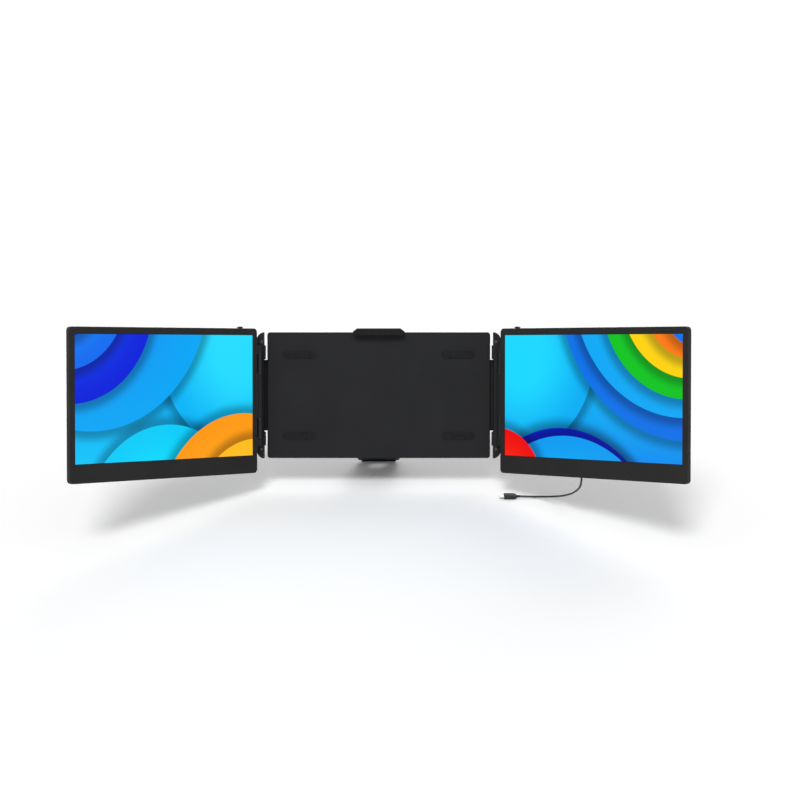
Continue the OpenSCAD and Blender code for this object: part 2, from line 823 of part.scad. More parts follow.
module bezel_frame(side) in_monitor(side) color(frame_black) {
    difference() {
        union() {
            difference() {
                union() {
                    bevel_slab(mon_w, mon_h, front_bevel, mon_r, front_bevel, 0);
                    translate([0, front_bevel, 0]) slab(mon_w, mon_h, frame_t - front_bevel, mon_r);
                }
                translate([mon_wall, front_t, -mon_wall])
                    slab(mon_w - 2 * mon_wall, mon_h - 2 * mon_wall, frame_t, mon_r - mon_wall);
            }
            for (p = mon_screw_places()) {
                translate([p[0], front_t - eps, p[1]]) rod_y(frame_boss_d, frame_t - front_t + eps);
            }
        }
        translate([bezel_in, -1, -bezel_top]) slab(screen_w, screen_h, front_t + 2, 0.5);
        for (p = mon_screw_places()) {
            translate([p[0], front_t + front_skin, p[1]]) rod_y(mon_screw_d, frame_t);
        }
        arm_slots();
        // The back cover's port bay passes through the rim
        translate([bay_left - locate_gap, front_t, -mon_h - 1])
            cube([bay_right - bay_left + 2 * locate_gap, frame_t, mon_wall + 2]);
        button_slot();
    }
}

module display_panel(side) in_monitor(side) color("#101216") {
    translate([bezel_in - panel_border, front_t, panel_border - bezel_top])
        slab(screen_w + 2 * panel_border, screen_h + 2 * panel_border, panel_t, 1);
}

board_left = 24;
board_right = 50;
board_h = 46;
board_low = bay_top + 1.7;
post_d = 5;
post_edge = 5;
low_post_up = 14;
board_post_z = [board_low + low_post_up, board_low + board_h - post_edge];
function board_post_x() = [port_x - board_left + post_edge, port_x + board_right - post_edge];

// Vents in the cover, between the rows of posts behind the board
vent_count = 13;
vent_pitch = 5;
vent_h = 13;
vent_w = 1.6;
vent_z = (board_post_z[0] + board_post_z[1]) / 2;
vent_start = port_x + (board_right - board_left) / 2 - (vent_count - 1) * vent_pitch / 2;

module back_cover(side) in_monitor(side) color(soft_black) {
    rim = cover_rim();
    lip = 1.2;
    difference() {
        union() {
            difference() {
                union() {
                    translate([seam_in, frame_t, -seam_in])
                        slab(mon_w - 2 * seam_in, mon_h - 2 * seam_in, seam_gap + eps, mon_r - seam_in);
                    translate([0, frame_t + seam_gap, 0])
                        slab(mon_w, mon_h, mon_t - back_bevel - frame_t - seam_gap, mon_r);
                    translate([0, mon_t - back_bevel, 0])
                        bevel_slab(mon_w, mon_h, back_bevel, mon_r, 0, back_bevel);
                    translate([mon_wall + locate_gap, frame_t - lip, -mon_wall - locate_gap])
                        slab(mon_w - 2 * (mon_wall + locate_gap), mon_h - 2 * (mon_wall + locate_gap),
                             lip + eps, mon_r - mon_wall);
                }
                translate([rim, frame_t - lip - 1, -rim])
                    slab(mon_w - 2 * rim, mon_h - 2 * rim, cavity_floor - frame_t + lip + 1,
                         mon_r - rim + 0.5);
                // The locating lip stops short of the frame's bosses
                for (p = mon_screw_places()) {
                    translate([p[0], frame_t - lip - 1, p[1]]) rod_y(frame_boss_d + 2 * locate_gap, lip + 1);
                }
            }
            for (p = mon_screw_places()) {
                translate([p[0], frame_t, p[1]]) rod_y(frame_boss_d, cavity_floor - frame_t + eps);
            }
            for (top = knuckle_tops, x = leaf_screw_x) {
                translate([x, leaf_back, top - mon_rise - knuckle_h / 2])
                    rod_y(post_d, cavity_floor - leaf_back + eps);
            }
            for (x = board_post_x(), z = board_post_z) {
                translate([x, board_front + board_t, z])
                    rod_y(post_d, cavity_floor - board_front - board_t + eps);
            }
            // Lining of the port bay
            translate([bay_left, front_t, -mon_h])
                cube([bay_right - bay_left, cavity_floor - front_t + eps, bay_h + bay_lining]);
            // Ledge under the button board
            translate([button_x - 8, 4, button_board_low - 1.2]) cube([16, cavity_floor - 4 + eps, 1.2]);
        }
        translate([port_x - bay_side, front_t + bay_lining, -mon_h - 1])
            cube([bay_w, mon_t, bay_h + 1]);
        for (i = [0, 1]) {
            translate([port_x + i * port_pitch, board_mid, bay_top - 1])
                linear_extrude(bay_lining + 2) stadium(usb_w + 2 * locate_gap, usb_h + 2 * locate_gap);
        }
        translate([hdmi_x(), board_mid, bay_top - 1]) linear_extrude(bay_lining + 2)
            square([hdmi_w + 2 * locate_gap, usb_h + 2 * locate_gap], center = true);
        for (p = mon_screw_places()) {
            translate([p[0], mon_t, p[1]])
                flat_screw(mon_screw_head, mon_screw_head_h, mon_screw_d, mon_t - frame_t + 1);
        }
        for (top = knuckle_tops, x = leaf_screw_x) {
            translate([x, leaf_back - 1, top - mon_rise - knuckle_h / 2])
                rod_y(mon_screw_d, 1 + cavity_floor - leaf_back);
        }
        for (i = [0 : vent_count - 1]) {
            translate([vent_start + i * vent_pitch, cavity_floor - 1, vent_z]) rotate([-90, 0, 0])
                linear_extrude(back_t + 2) rotate(90) stadium(vent_h, vent_w);
        }
        arm_slots();
        button_slot();
    }
}

module hinge_leaves(side) at_hinge(side) color(dark_steel) {
    front = leaf_front - axis_depth(side);
    back = front + arm_t;
    for (top = knuckle_tops) {
        translate([0, 0, top - knuckle_h]) difference() {
            union() {
                cylinder(h = knuckle_h, r = barrel_r);
                translate([0.8, min(front, 1), 0])
                    cube([hinge_gap - 1.1, max(back, 1) - min(front, 1), knuckle_h]);
                translate([hinge_gap - 0.4, front, 0]) cube([cover_rim() + 1.2, arm_t, knuckle_h]);
                translate([hinge_gap, front, 0]) cube([leaf_len, leaf_t, knuckle_h]);
            }
            translate([0, 0, -1]) cylinder(h = knuckle_h + 2, d = hinge_pin_d + 2 * run_gap);
            for (x = leaf_screw_x) {
                translate([hinge_gap + x, front, knuckle_h / 2]) mirror([0, 1, 0])
                    flat_screw(mon_screw_head, mon_screw_head_h, mon_screw_d, leaf_t + 1);
            }
        }
    }
}

module hinge_screws(side) in_monitor(side) color(steel) {
    for (top = knuckle_tops, x = leaf_screw_x) {
        translate([x, leaf_front, top - mon_rise - knuckle_h / 2]) mirror([0, 1, 0])
            flat_screw(mon_screw_head, mon_screw_head_h, mon_screw_d, leaf_t + 2);
    }
}

function hdmi_x() = port_x + 2 * port_pitch + 1;

module controller_board(side) in_monitor(side) color(board_green) {
    difference() {
        translate([port_x - board_left, board_front, board_low])
            cube([board_left + board_right, board_t, board_h]);
        for (i = [0, 1]) {
            translate([port_x + i * port_pitch - usb_w / 2 - 0.05, board_front - 1, board_low - 1])
                cube([usb_w + 0.1, board_t + 2, bay_top + usb_depth - board_low + 1]);
        }
        translate([hdmi_x() - hdmi_w / 2 - 0.05, board_front - 1, board_low - 1])
            cube([hdmi_w + 0.1, board_t + 2, bay_top + usb_depth - board_low + 1]);
    }
    // Scaler chip, power chip and panel connector on the board's rear
    translate([port_x - 4, board_front + board_t - eps, board_low + 20]) cube([12, 0.8, 12]);
    translate([port_x + 24, board_front + board_t - eps, board_low + 16]) cube([7, 0.8, 7]);
}

ribbon_w = 26;

module panel_ribbon(side) in_monitor(side) color("#c8a45a") {
    bend_top = board_low + board_h + 2;
    translate([port_x - 6, 0, 0]) rotate([90, 0, 90]) linear_extrude(ribbon_w) polygon([
        [panel_back, bend_top + 12], [panel_back + 0.3, bend_top + 12], [panel_back + 0.3, bend_top],
        [board_front, board_low + board_h - 3], [board_front, board_low + board_h - 11],
        [board_front - 0.3, board_low + board_h - 11], [board_front - 0.3, board_low + board_h - 3],
        [panel_back, bend_top]
    ]);
}

module usb_c_sockets(side) in_monitor(side) color(steel) {
    for (i = [0, 1]) {
        translate([port_x + i * port_pitch, board_mid, bay_top]) {
            difference() {
                linear_extrude(usb_depth) stadium(usb_w, usb_h);
                translate([0, 0, -1]) linear_extrude(usb_depth - 0.4) stadium(usb_w - 0.6, usb_h - 0.6);
            }
            translate([-3.3, -0.35, 1.4]) cube([6.6, 0.7, usb_depth - 1.6]);
        }
    }
}

module mini_hdmi_socket(side) in_monitor(side) color(steel) {
    translate([hdmi_x(), board_mid, bay_top]) {
        difference() {
            translate([-hdmi_w / 2, -usb_h / 2, 0]) cube([hdmi_w, usb_h, usb_depth]);
            translate([0, 0, -1]) linear_extrude(usb_depth - 0.4)
                polygon([[-5.3, -1.3], [5.3, -1.3], [5.3, 0.4], [4.4, 1.3], [-4.4, 1.3], [-5.3, 0.4]]);
        }
        translate([-4, -0.3, 1.4]) cube([8, 0.6, usb_depth - 1.6]);
    }
}

// The button's flange stays under the edge wall; the switch sits below it on a small board
flange_top = -cover_rim() - 0.05;
flange_t = 0.7;
switch_top = flange_top - flange_t - button_travel - 0.1;
switch_h = 1;
button_board_low = switch_top - switch_h - 0.6;

module button_board(side) in_monitor(side) color(board_green) {
    translate([button_x - 7, button_y - 2.2, button_board_low]) cube([14, 5, 0.6]);
    translate([button_x - 2.5, button_y - 1.5, button_board_low + 0.6 - eps]) cube([5, 3, switch_h + eps]);
}

// The cap's top is an arc from end to end
module menu_button(side) in_monitor(side) color(rubber_black) {
    cap_h = button_rise - button_travel;
    crown = cap_h - 0.4;
    crown_r = (button_w * button_w / 4 + crown * crown) / (2 * crown);
    intersection() {
        translate([button_x, button_y, button_travel]) linear_extrude(cap_h)
            stadium(button_w, button_cap_t);
        translate([button_x, button_y - button_cap_t / 2 - 1, button_rise - crown_r])
            rod_y(2 * crown_r, button_cap_t + 2);
    }
    translate([button_x, button_y, flange_top]) linear_extrude(button_travel - flange_top + eps)
        stadium(button_w - 2, button_stem_t);
    translate([button_x, button_y, flange_top - flange_t]) linear_extrude(flange_t)
        square([button_w, button_stem_t + 1.2], center = true);
}

module cover_screws(side) in_monitor(side) color(steel) {
    for (p = mon_screw_places()) {
        translate([p[0], mon_t, p[1]])
            flat_screw(mon_screw_head, mon_screw_head_h, mon_screw_d, mon_screw_len);
    }
}

// ---------------------------------------------------------------- USB-C lead

module plug_body(len) {
    straight = len - plug_shoulder;
    translate([-plug_w / 2, -plug_t / 2, 0]) rotate([90, 0, 0]) {
        slab(plug_w, plug_t, straight, plug_r);
        translate([0, straight, 0]) bevel_slab(plug_w, plug_t, plug_shoulder, plug_r, 0, shoulder_in);
    }
    translate([0, 0, len - eps])
        cylinder(h = relief_len, r1 = plug_t / 2 - shoulder_in - 0.1, r2 = cord_d / 2 + 0.3);
    translate([0, 0, -tongue_len]) difference() {
        linear_extrude(tongue_len + eps) stadium(8.2, 2.4);
        translate([0, 0, -1]) linear_extrude(tongue_len) square([6.8, 1.1], center = true);
    }
}

module usb_c_plug_monitor() in_monitor(RIGHT) color(cable_grey) {
    translate([port_x, board_mid, bay_top - 0.1]) mirror([0, 0, 1]) plug_body(plug_len);
}

laptop_plug_tip = [171.5, -90, -207];
laptop_plug_len = 17;

module usb_c_plug_laptop() color(cable_grey) {
    translate(laptop_plug_tip) rotate([90, 0, 90]) plug_body(laptop_plug_len);
}

module usb_c_cable() color(cable_grey) {
    sweep(smooth(cord_route, cord_rings_per_leg), cord_d, cord_sides, [0, 0.2, 1]);
}

// ---------------------------------------------------------------- nodes

centre_front_panel();
centre_rear_cover();
guide_rods();
lid_pads();
rear_cover_screws();
stand_hinge_pin();
clip_spring();
top_clip();
top_clip_pad();
kickstand_leg();
kickstand_foot();
bracket(LEFT);  // left_bracket
hook_pads(LEFT);  // left_hook_pads
bushings(LEFT);  // left_bushings
hinge_pins(LEFT);  // left_hinge_pins
bracket_screws(LEFT);  // left_bracket_screws
bracket(RIGHT);  // right_bracket
hook_pads(RIGHT);  // right_hook_pads
bushings(RIGHT);  // right_bushings
hinge_pins(RIGHT);  // right_hinge_pins
bracket_screws(RIGHT);  // right_bracket_screws
bezel_frame(LEFT);  // left_bezel_frame
display_panel(LEFT);  // left_display_panel
back_cover(LEFT);  // left_back_cover
hinge_leaves(LEFT);  // left_hinge_leaves
hinge_screws(LEFT);  // left_hinge_screws
controller_board(LEFT);  // left_controller_board
panel_ribbon(LEFT);  // left_panel_ribbon
usb_c_sockets(LEFT);  // left_usb_c_sockets
mini_hdmi_socket(LEFT);  // left_mini_hdmi_socket
button_board(LEFT);  // left_button_board
cover_screws(LEFT);  // left_cover_screws
menu_button(LEFT);  // left_menu_button
bezel_frame(RIGHT);  // right_bezel_frame
display_panel(RIGHT);  // right_display_panel
back_cover(RIGHT);  // right_back_cover
hinge_leaves(RIGHT);  // right_hinge_leaves
hinge_screws(RIGHT);  // right_hinge_screws
controller_board(RIGHT);  // right_controller_board
panel_ribbon(RIGHT);  // right_panel_ribbon
usb_c_sockets(RIGHT);  // right_usb_c_sockets
mini_hdmi_socket(RIGHT);  // right_mini_hdmi_socket
button_board(RIGHT);  // right_button_board
cover_screws(RIGHT);  // right_cover_screws
menu_button(RIGHT);  // right_menu_button
usb_c_cable();
usb_c_plug_monitor();
usb_c_plug_laptop();
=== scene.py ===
"""Dresses a clamp-on laptop screen extender: finishes, screens, lead, buttons, spring, screws and stage."""

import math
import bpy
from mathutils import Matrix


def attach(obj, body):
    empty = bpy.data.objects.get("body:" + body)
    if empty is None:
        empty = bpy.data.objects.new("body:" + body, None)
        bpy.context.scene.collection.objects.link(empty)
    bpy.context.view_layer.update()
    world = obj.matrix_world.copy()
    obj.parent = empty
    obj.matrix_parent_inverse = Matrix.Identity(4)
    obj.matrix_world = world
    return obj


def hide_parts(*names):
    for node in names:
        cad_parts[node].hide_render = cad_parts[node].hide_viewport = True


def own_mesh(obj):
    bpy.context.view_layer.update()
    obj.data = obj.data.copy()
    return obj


bl_info = {
    "name": "Laptop screen extender",
    "version": (1, 0, 0),
    "blender": (4, 5, 0),
    "location": "3D View > Sidebar > Extender",
    "description": "Finishes, screens, lead, buttons, screws and stage for a clamp-on laptop screen extender",
    "category": "Object",
}

import bmesh
import bpy
from bpy.props import FloatProperty, FloatVectorProperty, PointerProperty
from mathutils import Matrix, Vector

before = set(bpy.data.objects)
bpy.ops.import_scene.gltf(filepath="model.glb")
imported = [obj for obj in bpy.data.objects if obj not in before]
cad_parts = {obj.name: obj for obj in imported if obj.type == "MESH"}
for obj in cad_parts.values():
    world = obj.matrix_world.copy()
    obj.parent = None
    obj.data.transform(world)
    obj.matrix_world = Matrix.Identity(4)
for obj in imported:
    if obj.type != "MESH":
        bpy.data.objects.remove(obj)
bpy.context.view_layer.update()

MM = 0.001
LEFT, RIGHT = "left", "right"
SIDES = (LEFT, RIGHT)


def linear(code):
    """sRGB hex code to the linear colour that Blender's sockets take."""
    parts = [int(code[i : i + 2], 16) / 255 for i in (1, 3, 5)]
    return [c / 12.92 if c <= 0.04045 else ((c + 0.055) / 1.055) ** 2.4 for c in parts] + [1.0]


def length(label, what, mm):
    """A size for the sidebar, given in millimetres and kept in metres."""
    return FloatProperty(name=label, description=what, default=mm * MM, min=0.0, unit="LENGTH", precision=4)


def turn(label, what, degrees):
    """An angle for the sidebar, given in degrees and kept in radians."""
    return FloatProperty(name=label, description=what, default=math.radians(degrees), subtype="ANGLE")


def paint(label, what, code):
    """A colour for the sidebar, given as a hex code."""
    return FloatVectorProperty(
        name=label, description=what, default=linear(code), size=4, min=0.0, max=1.0, subtype="COLOR"
    )


class ExtenderSizes(bpy.types.PropertyGroup):
    """Sizes of the frame that the finishes and the added pieces line up with."""

    lean: turn("Lean", "Backward lean of the lid and the unit", 18)
    wing_yaw: turn("Wing yaw", "Forward swing of both monitors", 44.5)
    left_axis_x: length("Left axis", "Left hinge axis to the middle of the unit", 162.8)
    left_axis_front: length("Left axis forward", "Left hinge axis in front of the lid's middle", 17.4)
    left_axis_depth: length("Left axis depth", "Left hinge axis behind the monitor's front", 0.5)
    right_axis_x: length("Right axis", "Right hinge axis to the middle of the unit", 166.65)
    right_axis_front: length("Right axis forward", "Right hinge axis in front of the lid's middle", 13.5)
    right_axis_depth: length("Right axis depth", "Right hinge axis behind the monitor's front", 6)
    hinge_gap: length("Hinge gap", "Hinge axis to the monitor's inner edge", 5)
    mon_rise: length("Monitor rise", "Monitor's top over the unit's top", 4.9)
    mon_w: length("Monitor width", "Width of each monitor", 308.3)
    mon_h: length("Monitor height", "Height of each monitor", 197.6)
    mon_t: length("Monitor thickness", "Thickness of each monitor", 8.6)
    bezel_in: length("Inner bezel", "Bezel beside the screen at the hinges", 7.4)
    bezel_top: length("Top bezel", "Bezel over the screen", 8.8)
    front_t: length("Bezel face", "Thickness of the bezel over the panel", 1)
    screen_w: length("Screen width", "Width of the opening over the panel", 292.6)
    screen_h: length("Screen height", "Height of the opening over the panel", 164.8)
    dark_rim: length("Dark rim", "Unlit border inside the opening", 0.5)
    port_x: length("First socket", "First USB-C socket to the monitor's inner edge", 137)
    plug_w: length("Plug width", "Width of the moulded plug bodies", 11)
    plug_t: length("Plug thickness", "Thickness of the moulded plug bodies", 6)
    cord_d: length("Lead", "Diameter of the lead", 2.6)
    button_x: length("Button", "Menu button to the monitor's inner edge", 28)
    button_w: length("Button length", "Length of the menu buttons", 10)
    button_rise: length("Button rise", "Top of the menu buttons over the monitor's edge", 2.5)
    button_travel: length("Button travel", "Travel of the menu buttons", 0.6)


class ExtenderColours(bpy.types.PropertyGroup):
    """Base colours of the finishes."""

    bezel: paint("Bezel", "Satin moulded bezel frames", "#262524")
    housing: paint("Housing", "Textured moulded housing, brackets and leg", "#1E1E20")
    # Painted shade: the clip is the housing's moulding in a darker colour, so that its top, which faces the
    # key lamp, does not come out lighter
    clip: paint("Clip", "Textured moulded clip", "#121213")
    # Painted light: the back covers are the housing's moulding in a lighter colour, because the lamps leave
    # the backs dark
    cover: paint("Back covers", "Textured moulded back covers of the monitors", "#242427")
    rubber: paint("Rubber", "Pads, foot and buttons", "#131315")
    steel: paint("Steel", "Pins, rods, spring and hinge screws", "#B4B7BC")
    black_steel: paint("Black steel", "Hinge leaves", "#1A1A1C")
    jacket: paint("Lead jacket", "Skin of the lead", "#3E3E42")
    plug: paint("Plugs", "Moulded plug bodies", "#2D2D31")
    board: paint("Board", "Solder mask of the boards", "#1F5A3C")
    floor: paint("Floor", "Floor of the stage", "#FFFFFF")


# ---------------------------------------- nodes and pieces

# Sockets of the Mix node for colours, which share their names with those for numbers
FACTOR, BELOW, ABOVE, MIXED = 0, 6, 7, 2
# Settings of a Mix node that blends two colours, or multiplies the lower one by the upper one
BLEND, MULTIPLY = {"data_type": "RGBA"}, {"data_type": "RGBA", "blend_type": "MULTIPLY"}
# Nearly all of a noise texture lies between these values
NOISE = {"From Min": 0.3, "From Max": 0.7}
# At scale 1 the bands of a wave texture come this far apart
WAVE_REPEAT = math.pi / 10
# Rows of nodes in the editor, and the steps from column to column and from row to row
NODE_ROWS, NODE_COLUMN, NODE_ROW = 6, 260, 240
# Edges of the added pieces that turn by more than this stay crisp
CREASE = math.radians(32)


def put(tree, kind, inputs=None, **settings):
    """Adds a node. inputs gives each socket, by name or number, a value or the output that feeds it."""
    node = tree.nodes.new(kind)
    for key, value in settings.items():
        setattr(node, key, value)
    for key, value in (inputs or {}).items():
        if isinstance(value, bpy.types.NodeSocket):
            tree.links.new(value, node.inputs[key])
        else:
            node.inputs[key].default_value = value
    return node


def new_material(name):
    """An empty material and its node tree."""
    material = bpy.data.materials.new(name)
    material.use_nodes = True
    material.node_tree.nodes.clear()
    return material, material.node_tree


def patterned(name):
    """A new material, its node tree and the object's own coordinates, which its patterns follow."""
    material, tree = new_material(name)
    return material, tree, put(tree, "ShaderNodeTexCoord").outputs["Object"]


def closed(material, shader):
    """Joins the shader to the material's output, spreads the nodes in columns and returns the material."""
    tree = material.node_tree
    put(tree, "ShaderNodeOutputMaterial", {"Surface": shader.outputs[0]})
    for i, node in enumerate(tree.nodes):
        column, row = divmod(i, NODE_ROWS)
        node.location = (column * NODE_COLUMN, -row * NODE_ROW)
    return material


def finish_of(material, *names):
    """Gives a material to CAD nodes."""
    for name in names:
        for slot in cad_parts[name].material_slots:
            slot.material = material


def sided(*names):
    """Names of the left and the right node of each kind."""
    return [f"{side}_{name}" for side in SIDES for name in names]


def as_piece(name, bm, material, body, replaced=()):
    """Turns a bmesh in the frame's own coordinates into a piece that rides on a body."""
    bmesh.ops.recalc_face_normals(bm, faces=bm.faces)
    mesh = bpy.data.meshes.new(name)
    bm.to_mesh(mesh)
    bm.free()
    mesh.shade_smooth()
    mesh.set_sharp_from_angle(angle=CREASE)
    mesh.materials.append(material)
    piece = bpy.data.objects.new(name, mesh)
    bpy.context.scene.collection.objects.link(piece)
    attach(piece, body)
    if replaced:
        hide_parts(*replaced)
    return piece


def gathered(parts):
    """Moves each part, a bmesh in millimetres, to its place in the frame and returns them as one bmesh."""
    whole = bmesh.new()
    for bm, place in parts:
        bmesh.ops.recalc_face_normals(bm, faces=bm.faces)
        bmesh.ops.transform(bm, matrix=place @ Matrix.Scale(MM, 4), verts=bm.verts)
        mesh = bpy.data.meshes.new("part")
        bm.to_mesh(mesh)
        bm.free()
        whole.from_mesh(mesh)
        bpy.data.meshes.remove(mesh)
    return whole


# ---------------------------------------- places


def at_mm(x, y, z):
    """A move given in millimetres."""
    return Matrix.Translation((x * MM, y * MM, z * MM))


def across(side):
    """Mirrors the left side, whose measures run outwards as the right side's do."""
    return Matrix.Scale(-1, 4, (1, 0, 0)) if side == LEFT else Matrix.Identity(4)


def unit_frame():
    """Frame of the centre unit: leans back with the lid about the row's origin."""
    return Matrix.Rotation(-bpy.context.scene.extender_sizes.lean, 4, "X")


def monitor_frame(side):
    """Frame of a monitor: x outwards from its inner edge, y back from its front, z up from its top edge."""
    s = bpy.context.scene.extender_sizes
    x, front, depth = (getattr(s, f"{side}_axis_{part}") for part in ("x", "front", "depth"))
    return (
        unit_frame()
        @ across(side)
        @ Matrix.Translation((x, -front, 0))
        @ Matrix.Rotation(-s.wing_yaw, 4, "Z")
        @ Matrix.Translation((s.hinge_gap, -depth, s.mon_rise))
    )


def picture_frame(side):
    """Frame of a lit picture: x to the right and z up from its lower left corner, y into the panel."""
    s = bpy.context.scene.extender_sizes
    left_edge = s.bezel_in + s.screen_w if side == LEFT else s.bezel_in
    corner = Matrix.Translation((left_edge, s.front_t, -s.bezel_top - s.screen_h))
    return monitor_frame(side) @ corner @ across(side)


# ---------------------------------------- finishes


def moulded_abs(name, colour, grain_mm, roughness, sheen, depth_mm):
    """ABS with a spark-eroded mould texture: a low sheen broken by fine grain, never quite one shade."""
    material, tree, place = patterned(name)
    # Flow of the melt leaves broad, very faint clouds, about 60 mm across
    clouds = put(tree, "ShaderNodeTexNoise", {"Vector": place, "Scale": 1 / (60 * MM), "Detail": 3.0})
    tint = put(
        tree, "ShaderNodeMapRange", {"Value": clouds.outputs["Fac"], **NOISE, "To Min": 0.9, "To Max": 1.1}
    )
    # The real grain is about 0.2 mm; it is drawn coarser so that it shows at arm's length
    grain = put(
        tree,
        "ShaderNodeTexNoise",
        {"Vector": place, "Scale": 1 / (grain_mm * MM), "Detail": 2.0, "Roughness": 0.6},
    ).outputs["Fac"]
    # Light catches the tips of the grain, and its pits stay darker
    tips = put(tree, "ShaderNodeMapRange", {"Value": grain, **NOISE, "To Min": 0.87, "To Max": 1.13})
    tone = put(tree, "ShaderNodeMath", {0: tint.outputs[0], 1: tips.outputs[0]}, operation="MULTIPLY")
    shade = put(
        tree, "ShaderNodeMix", {FACTOR: 1.0, BELOW: tuple(colour), ABOVE: tone.outputs[0]}, **MULTIPLY
    )
    spread = {"To Min": roughness - 0.06, "To Max": roughness + 0.06}
    rough = put(tree, "ShaderNodeMapRange", {"Value": grain, **NOISE, **spread})
    bump = put(tree, "ShaderNodeBump", {"Strength": 0.5, "Distance": depth_mm * MM, "Height": grain})
    shader = put(
        tree,
        "ShaderNodeBsdfPrincipled",
        {
            "Base Color": shade.outputs[MIXED],
            "Roughness": rough.outputs["Result"],
            "Normal": bump.outputs["Normal"],
            "IOR": 1.53,
            "Specular IOR Level": sheen,
        },
    )
    return closed(material, shader)


def silicone_rubber(name, colour):
    """Silicone rubber: dull and dark, with a dusty bloom in patches about 4 mm across."""
    material, tree, place = patterned(name)
    bloom = put(
        tree, "ShaderNodeTexNoise", {"Vector": place, "Scale": 1 / (4 * MM), "Detail": 4.0}
    ).outputs["Fac"]
    dust = put(
        tree,
        "ShaderNodeMapRange",
        {"Value": bloom, "From Min": 0.35, "From Max": 0.75, "To Min": 0.0, "To Max": 0.35},
    ).outputs["Result"]
    shade = put(
        tree, "ShaderNodeMix", {FACTOR: dust, BELOW: tuple(colour), ABOVE: linear("#2C2C2E")}, **BLEND
    )
    bump = put(tree, "ShaderNodeBump", {"Strength": 0.3, "Distance": 0.05 * MM, "Height": bloom})
    shader = put(
        tree,
        "ShaderNodeBsdfPrincipled",
        {
            "Base Color": shade.outputs[MIXED],
            "Roughness": 0.82,
            "Normal": bump.outputs["Normal"],
            "IOR": 1.41,
            "Specular IOR Level": 0.3,
        },
    )
    return closed(material, shader)


def drawn_metal(name, colour, roughness, metallic=1.0, along="X", pitch_mm=0.6):
    """Drawn or rolled metal: fine draw lines along its length, so the highlight breaks into streaks."""
    material, tree, place = patterned(name)
    # Lines are stretched twenty times along the draw direction
    stretch = [0.05 if axis == along else 1.0 for axis in "XYZ"]
    lines = put(tree, "ShaderNodeMapping", {"Vector": place, "Scale": stretch})
    streaks = put(
        tree,
        "ShaderNodeTexNoise",
        {"Vector": lines.outputs["Vector"], "Scale": 1 / (pitch_mm * MM), "Detail": 3.0},
    ).outputs["Fac"]
    spread = {"To Min": roughness - 0.07, "To Max": roughness + 0.1}
    rough = put(tree, "ShaderNodeMapRange", {"Value": streaks, **NOISE, **spread})
    tone = put(tree, "ShaderNodeMapRange", {"Value": streaks, **NOISE, "To Min": 0.88, "To Max": 1.08})
    shade = put(
        tree, "ShaderNodeMix", {FACTOR: 1.0, BELOW: tuple(colour), ABOVE: tone.outputs["Result"]}, **MULTIPLY
    )
    bump = put(tree, "ShaderNodeBump", {"Strength": 0.2, "Distance": 0.02 * MM, "Height": streaks})
    shader = put(
        tree,
        "ShaderNodeBsdfPrincipled",
        {
            "Base Color": shade.outputs[MIXED],
            "Metallic": metallic,
            "Roughness": rough.outputs["Result"],
            "Normal": bump.outputs["Normal"],
        },
    )
    return closed(material, shader)


def soft_tpe(name, colour):
    """TPE, extruded as a jacket or moulded as a plug: satin, with an orange-peel skin about 1 mm across."""
    material, tree, place = patterned(name)
    peel = put(
        tree, "ShaderNodeTexNoise", {"Vector": place, "Scale": 1 / (1 * MM), "Detail": 2.0}
    ).outputs["Fac"]
    tone = put(tree, "ShaderNodeMapRange", {"Value": peel, **NOISE, "To Min": 0.9, "To Max": 1.12})
    shade = put(
        tree, "ShaderNodeMix", {FACTOR: 1.0, BELOW: tuple(colour), ABOVE: tone.outputs["Result"]}, **MULTIPLY
    )
    bump = put(tree, "ShaderNodeBump", {"Strength": 0.25, "Distance": 0.04 * MM, "Height": peel})
    shader = put(
        tree,
        "ShaderNodeBsdfPrincipled",
        {
            "Base Color": shade.outputs[MIXED],
            "Roughness": 0.6,
            "Normal": bump.outputs["Normal"],
            "IOR": 1.5,
            "Specular IOR Level": 0.22,
        },
    )
    return closed(material, shader)


def solder_mask(name, colour):
    """Glass-epoxy board under glossy green solder mask: copper tracks under it show as paler lines."""
    material, tree, place = patterned(name)
    # Tracks run in bundles that change course, so cells of 6 mm are filled with lines 0.8 mm apart
    cells = put(tree, "ShaderNodeTexVoronoi", {"Vector": place, "Scale": 1 / (6 * MM)}, distance="MANHATTAN")
    tracks = put(
        tree, "ShaderNodeTexWave", {"Vector": place, "Scale": WAVE_REPEAT / (0.8 * MM), "Distortion": 2.0}
    )
    mask = put(
        tree, "ShaderNodeMath", {0: cells.outputs["Distance"], 1: tracks.outputs["Fac"]}, operation="MULTIPLY"
    ).outputs[0]
    shade = put(
        tree, "ShaderNodeMix", {FACTOR: mask, BELOW: tuple(colour), ABOVE: linear("#3F8F5E")}, **BLEND
    )
    bump = put(tree, "ShaderNodeBump", {"Strength": 0.3, "Distance": 0.04 * MM, "Height": mask})
    shader = put(
        tree,
        "ShaderNodeBsdfPrincipled",
        {"Base Color": shade.outputs[MIXED], "Roughness": 0.28, "Normal": bump.outputs[0], "IOR": 1.55},
    )
    return closed(material, shader)


def polyimide_film(name):
    """Polyimide flat cable: glossy amber film over parallel copper conductors 1 mm apart."""
    material, tree, place = patterned(name)
    wires = put(
        tree,
        "ShaderNodeTexWave",
        {"Vector": place, "Scale": WAVE_REPEAT / (1 * MM), "Distortion": 0.0},
        bands_direction="X",
    ).outputs["Fac"]
    shade = put(
        tree, "ShaderNodeMix", {FACTOR: wires, BELOW: linear("#B98A3C"), ABOVE: linear("#D9B266")}, **BLEND
    )
    shader = put(
        tree, "ShaderNodeBsdfPrincipled", {"Base Color": shade.outputs[MIXED], "Roughness": 0.3, "IOR": 1.7}
    )
    return closed(material, shader)


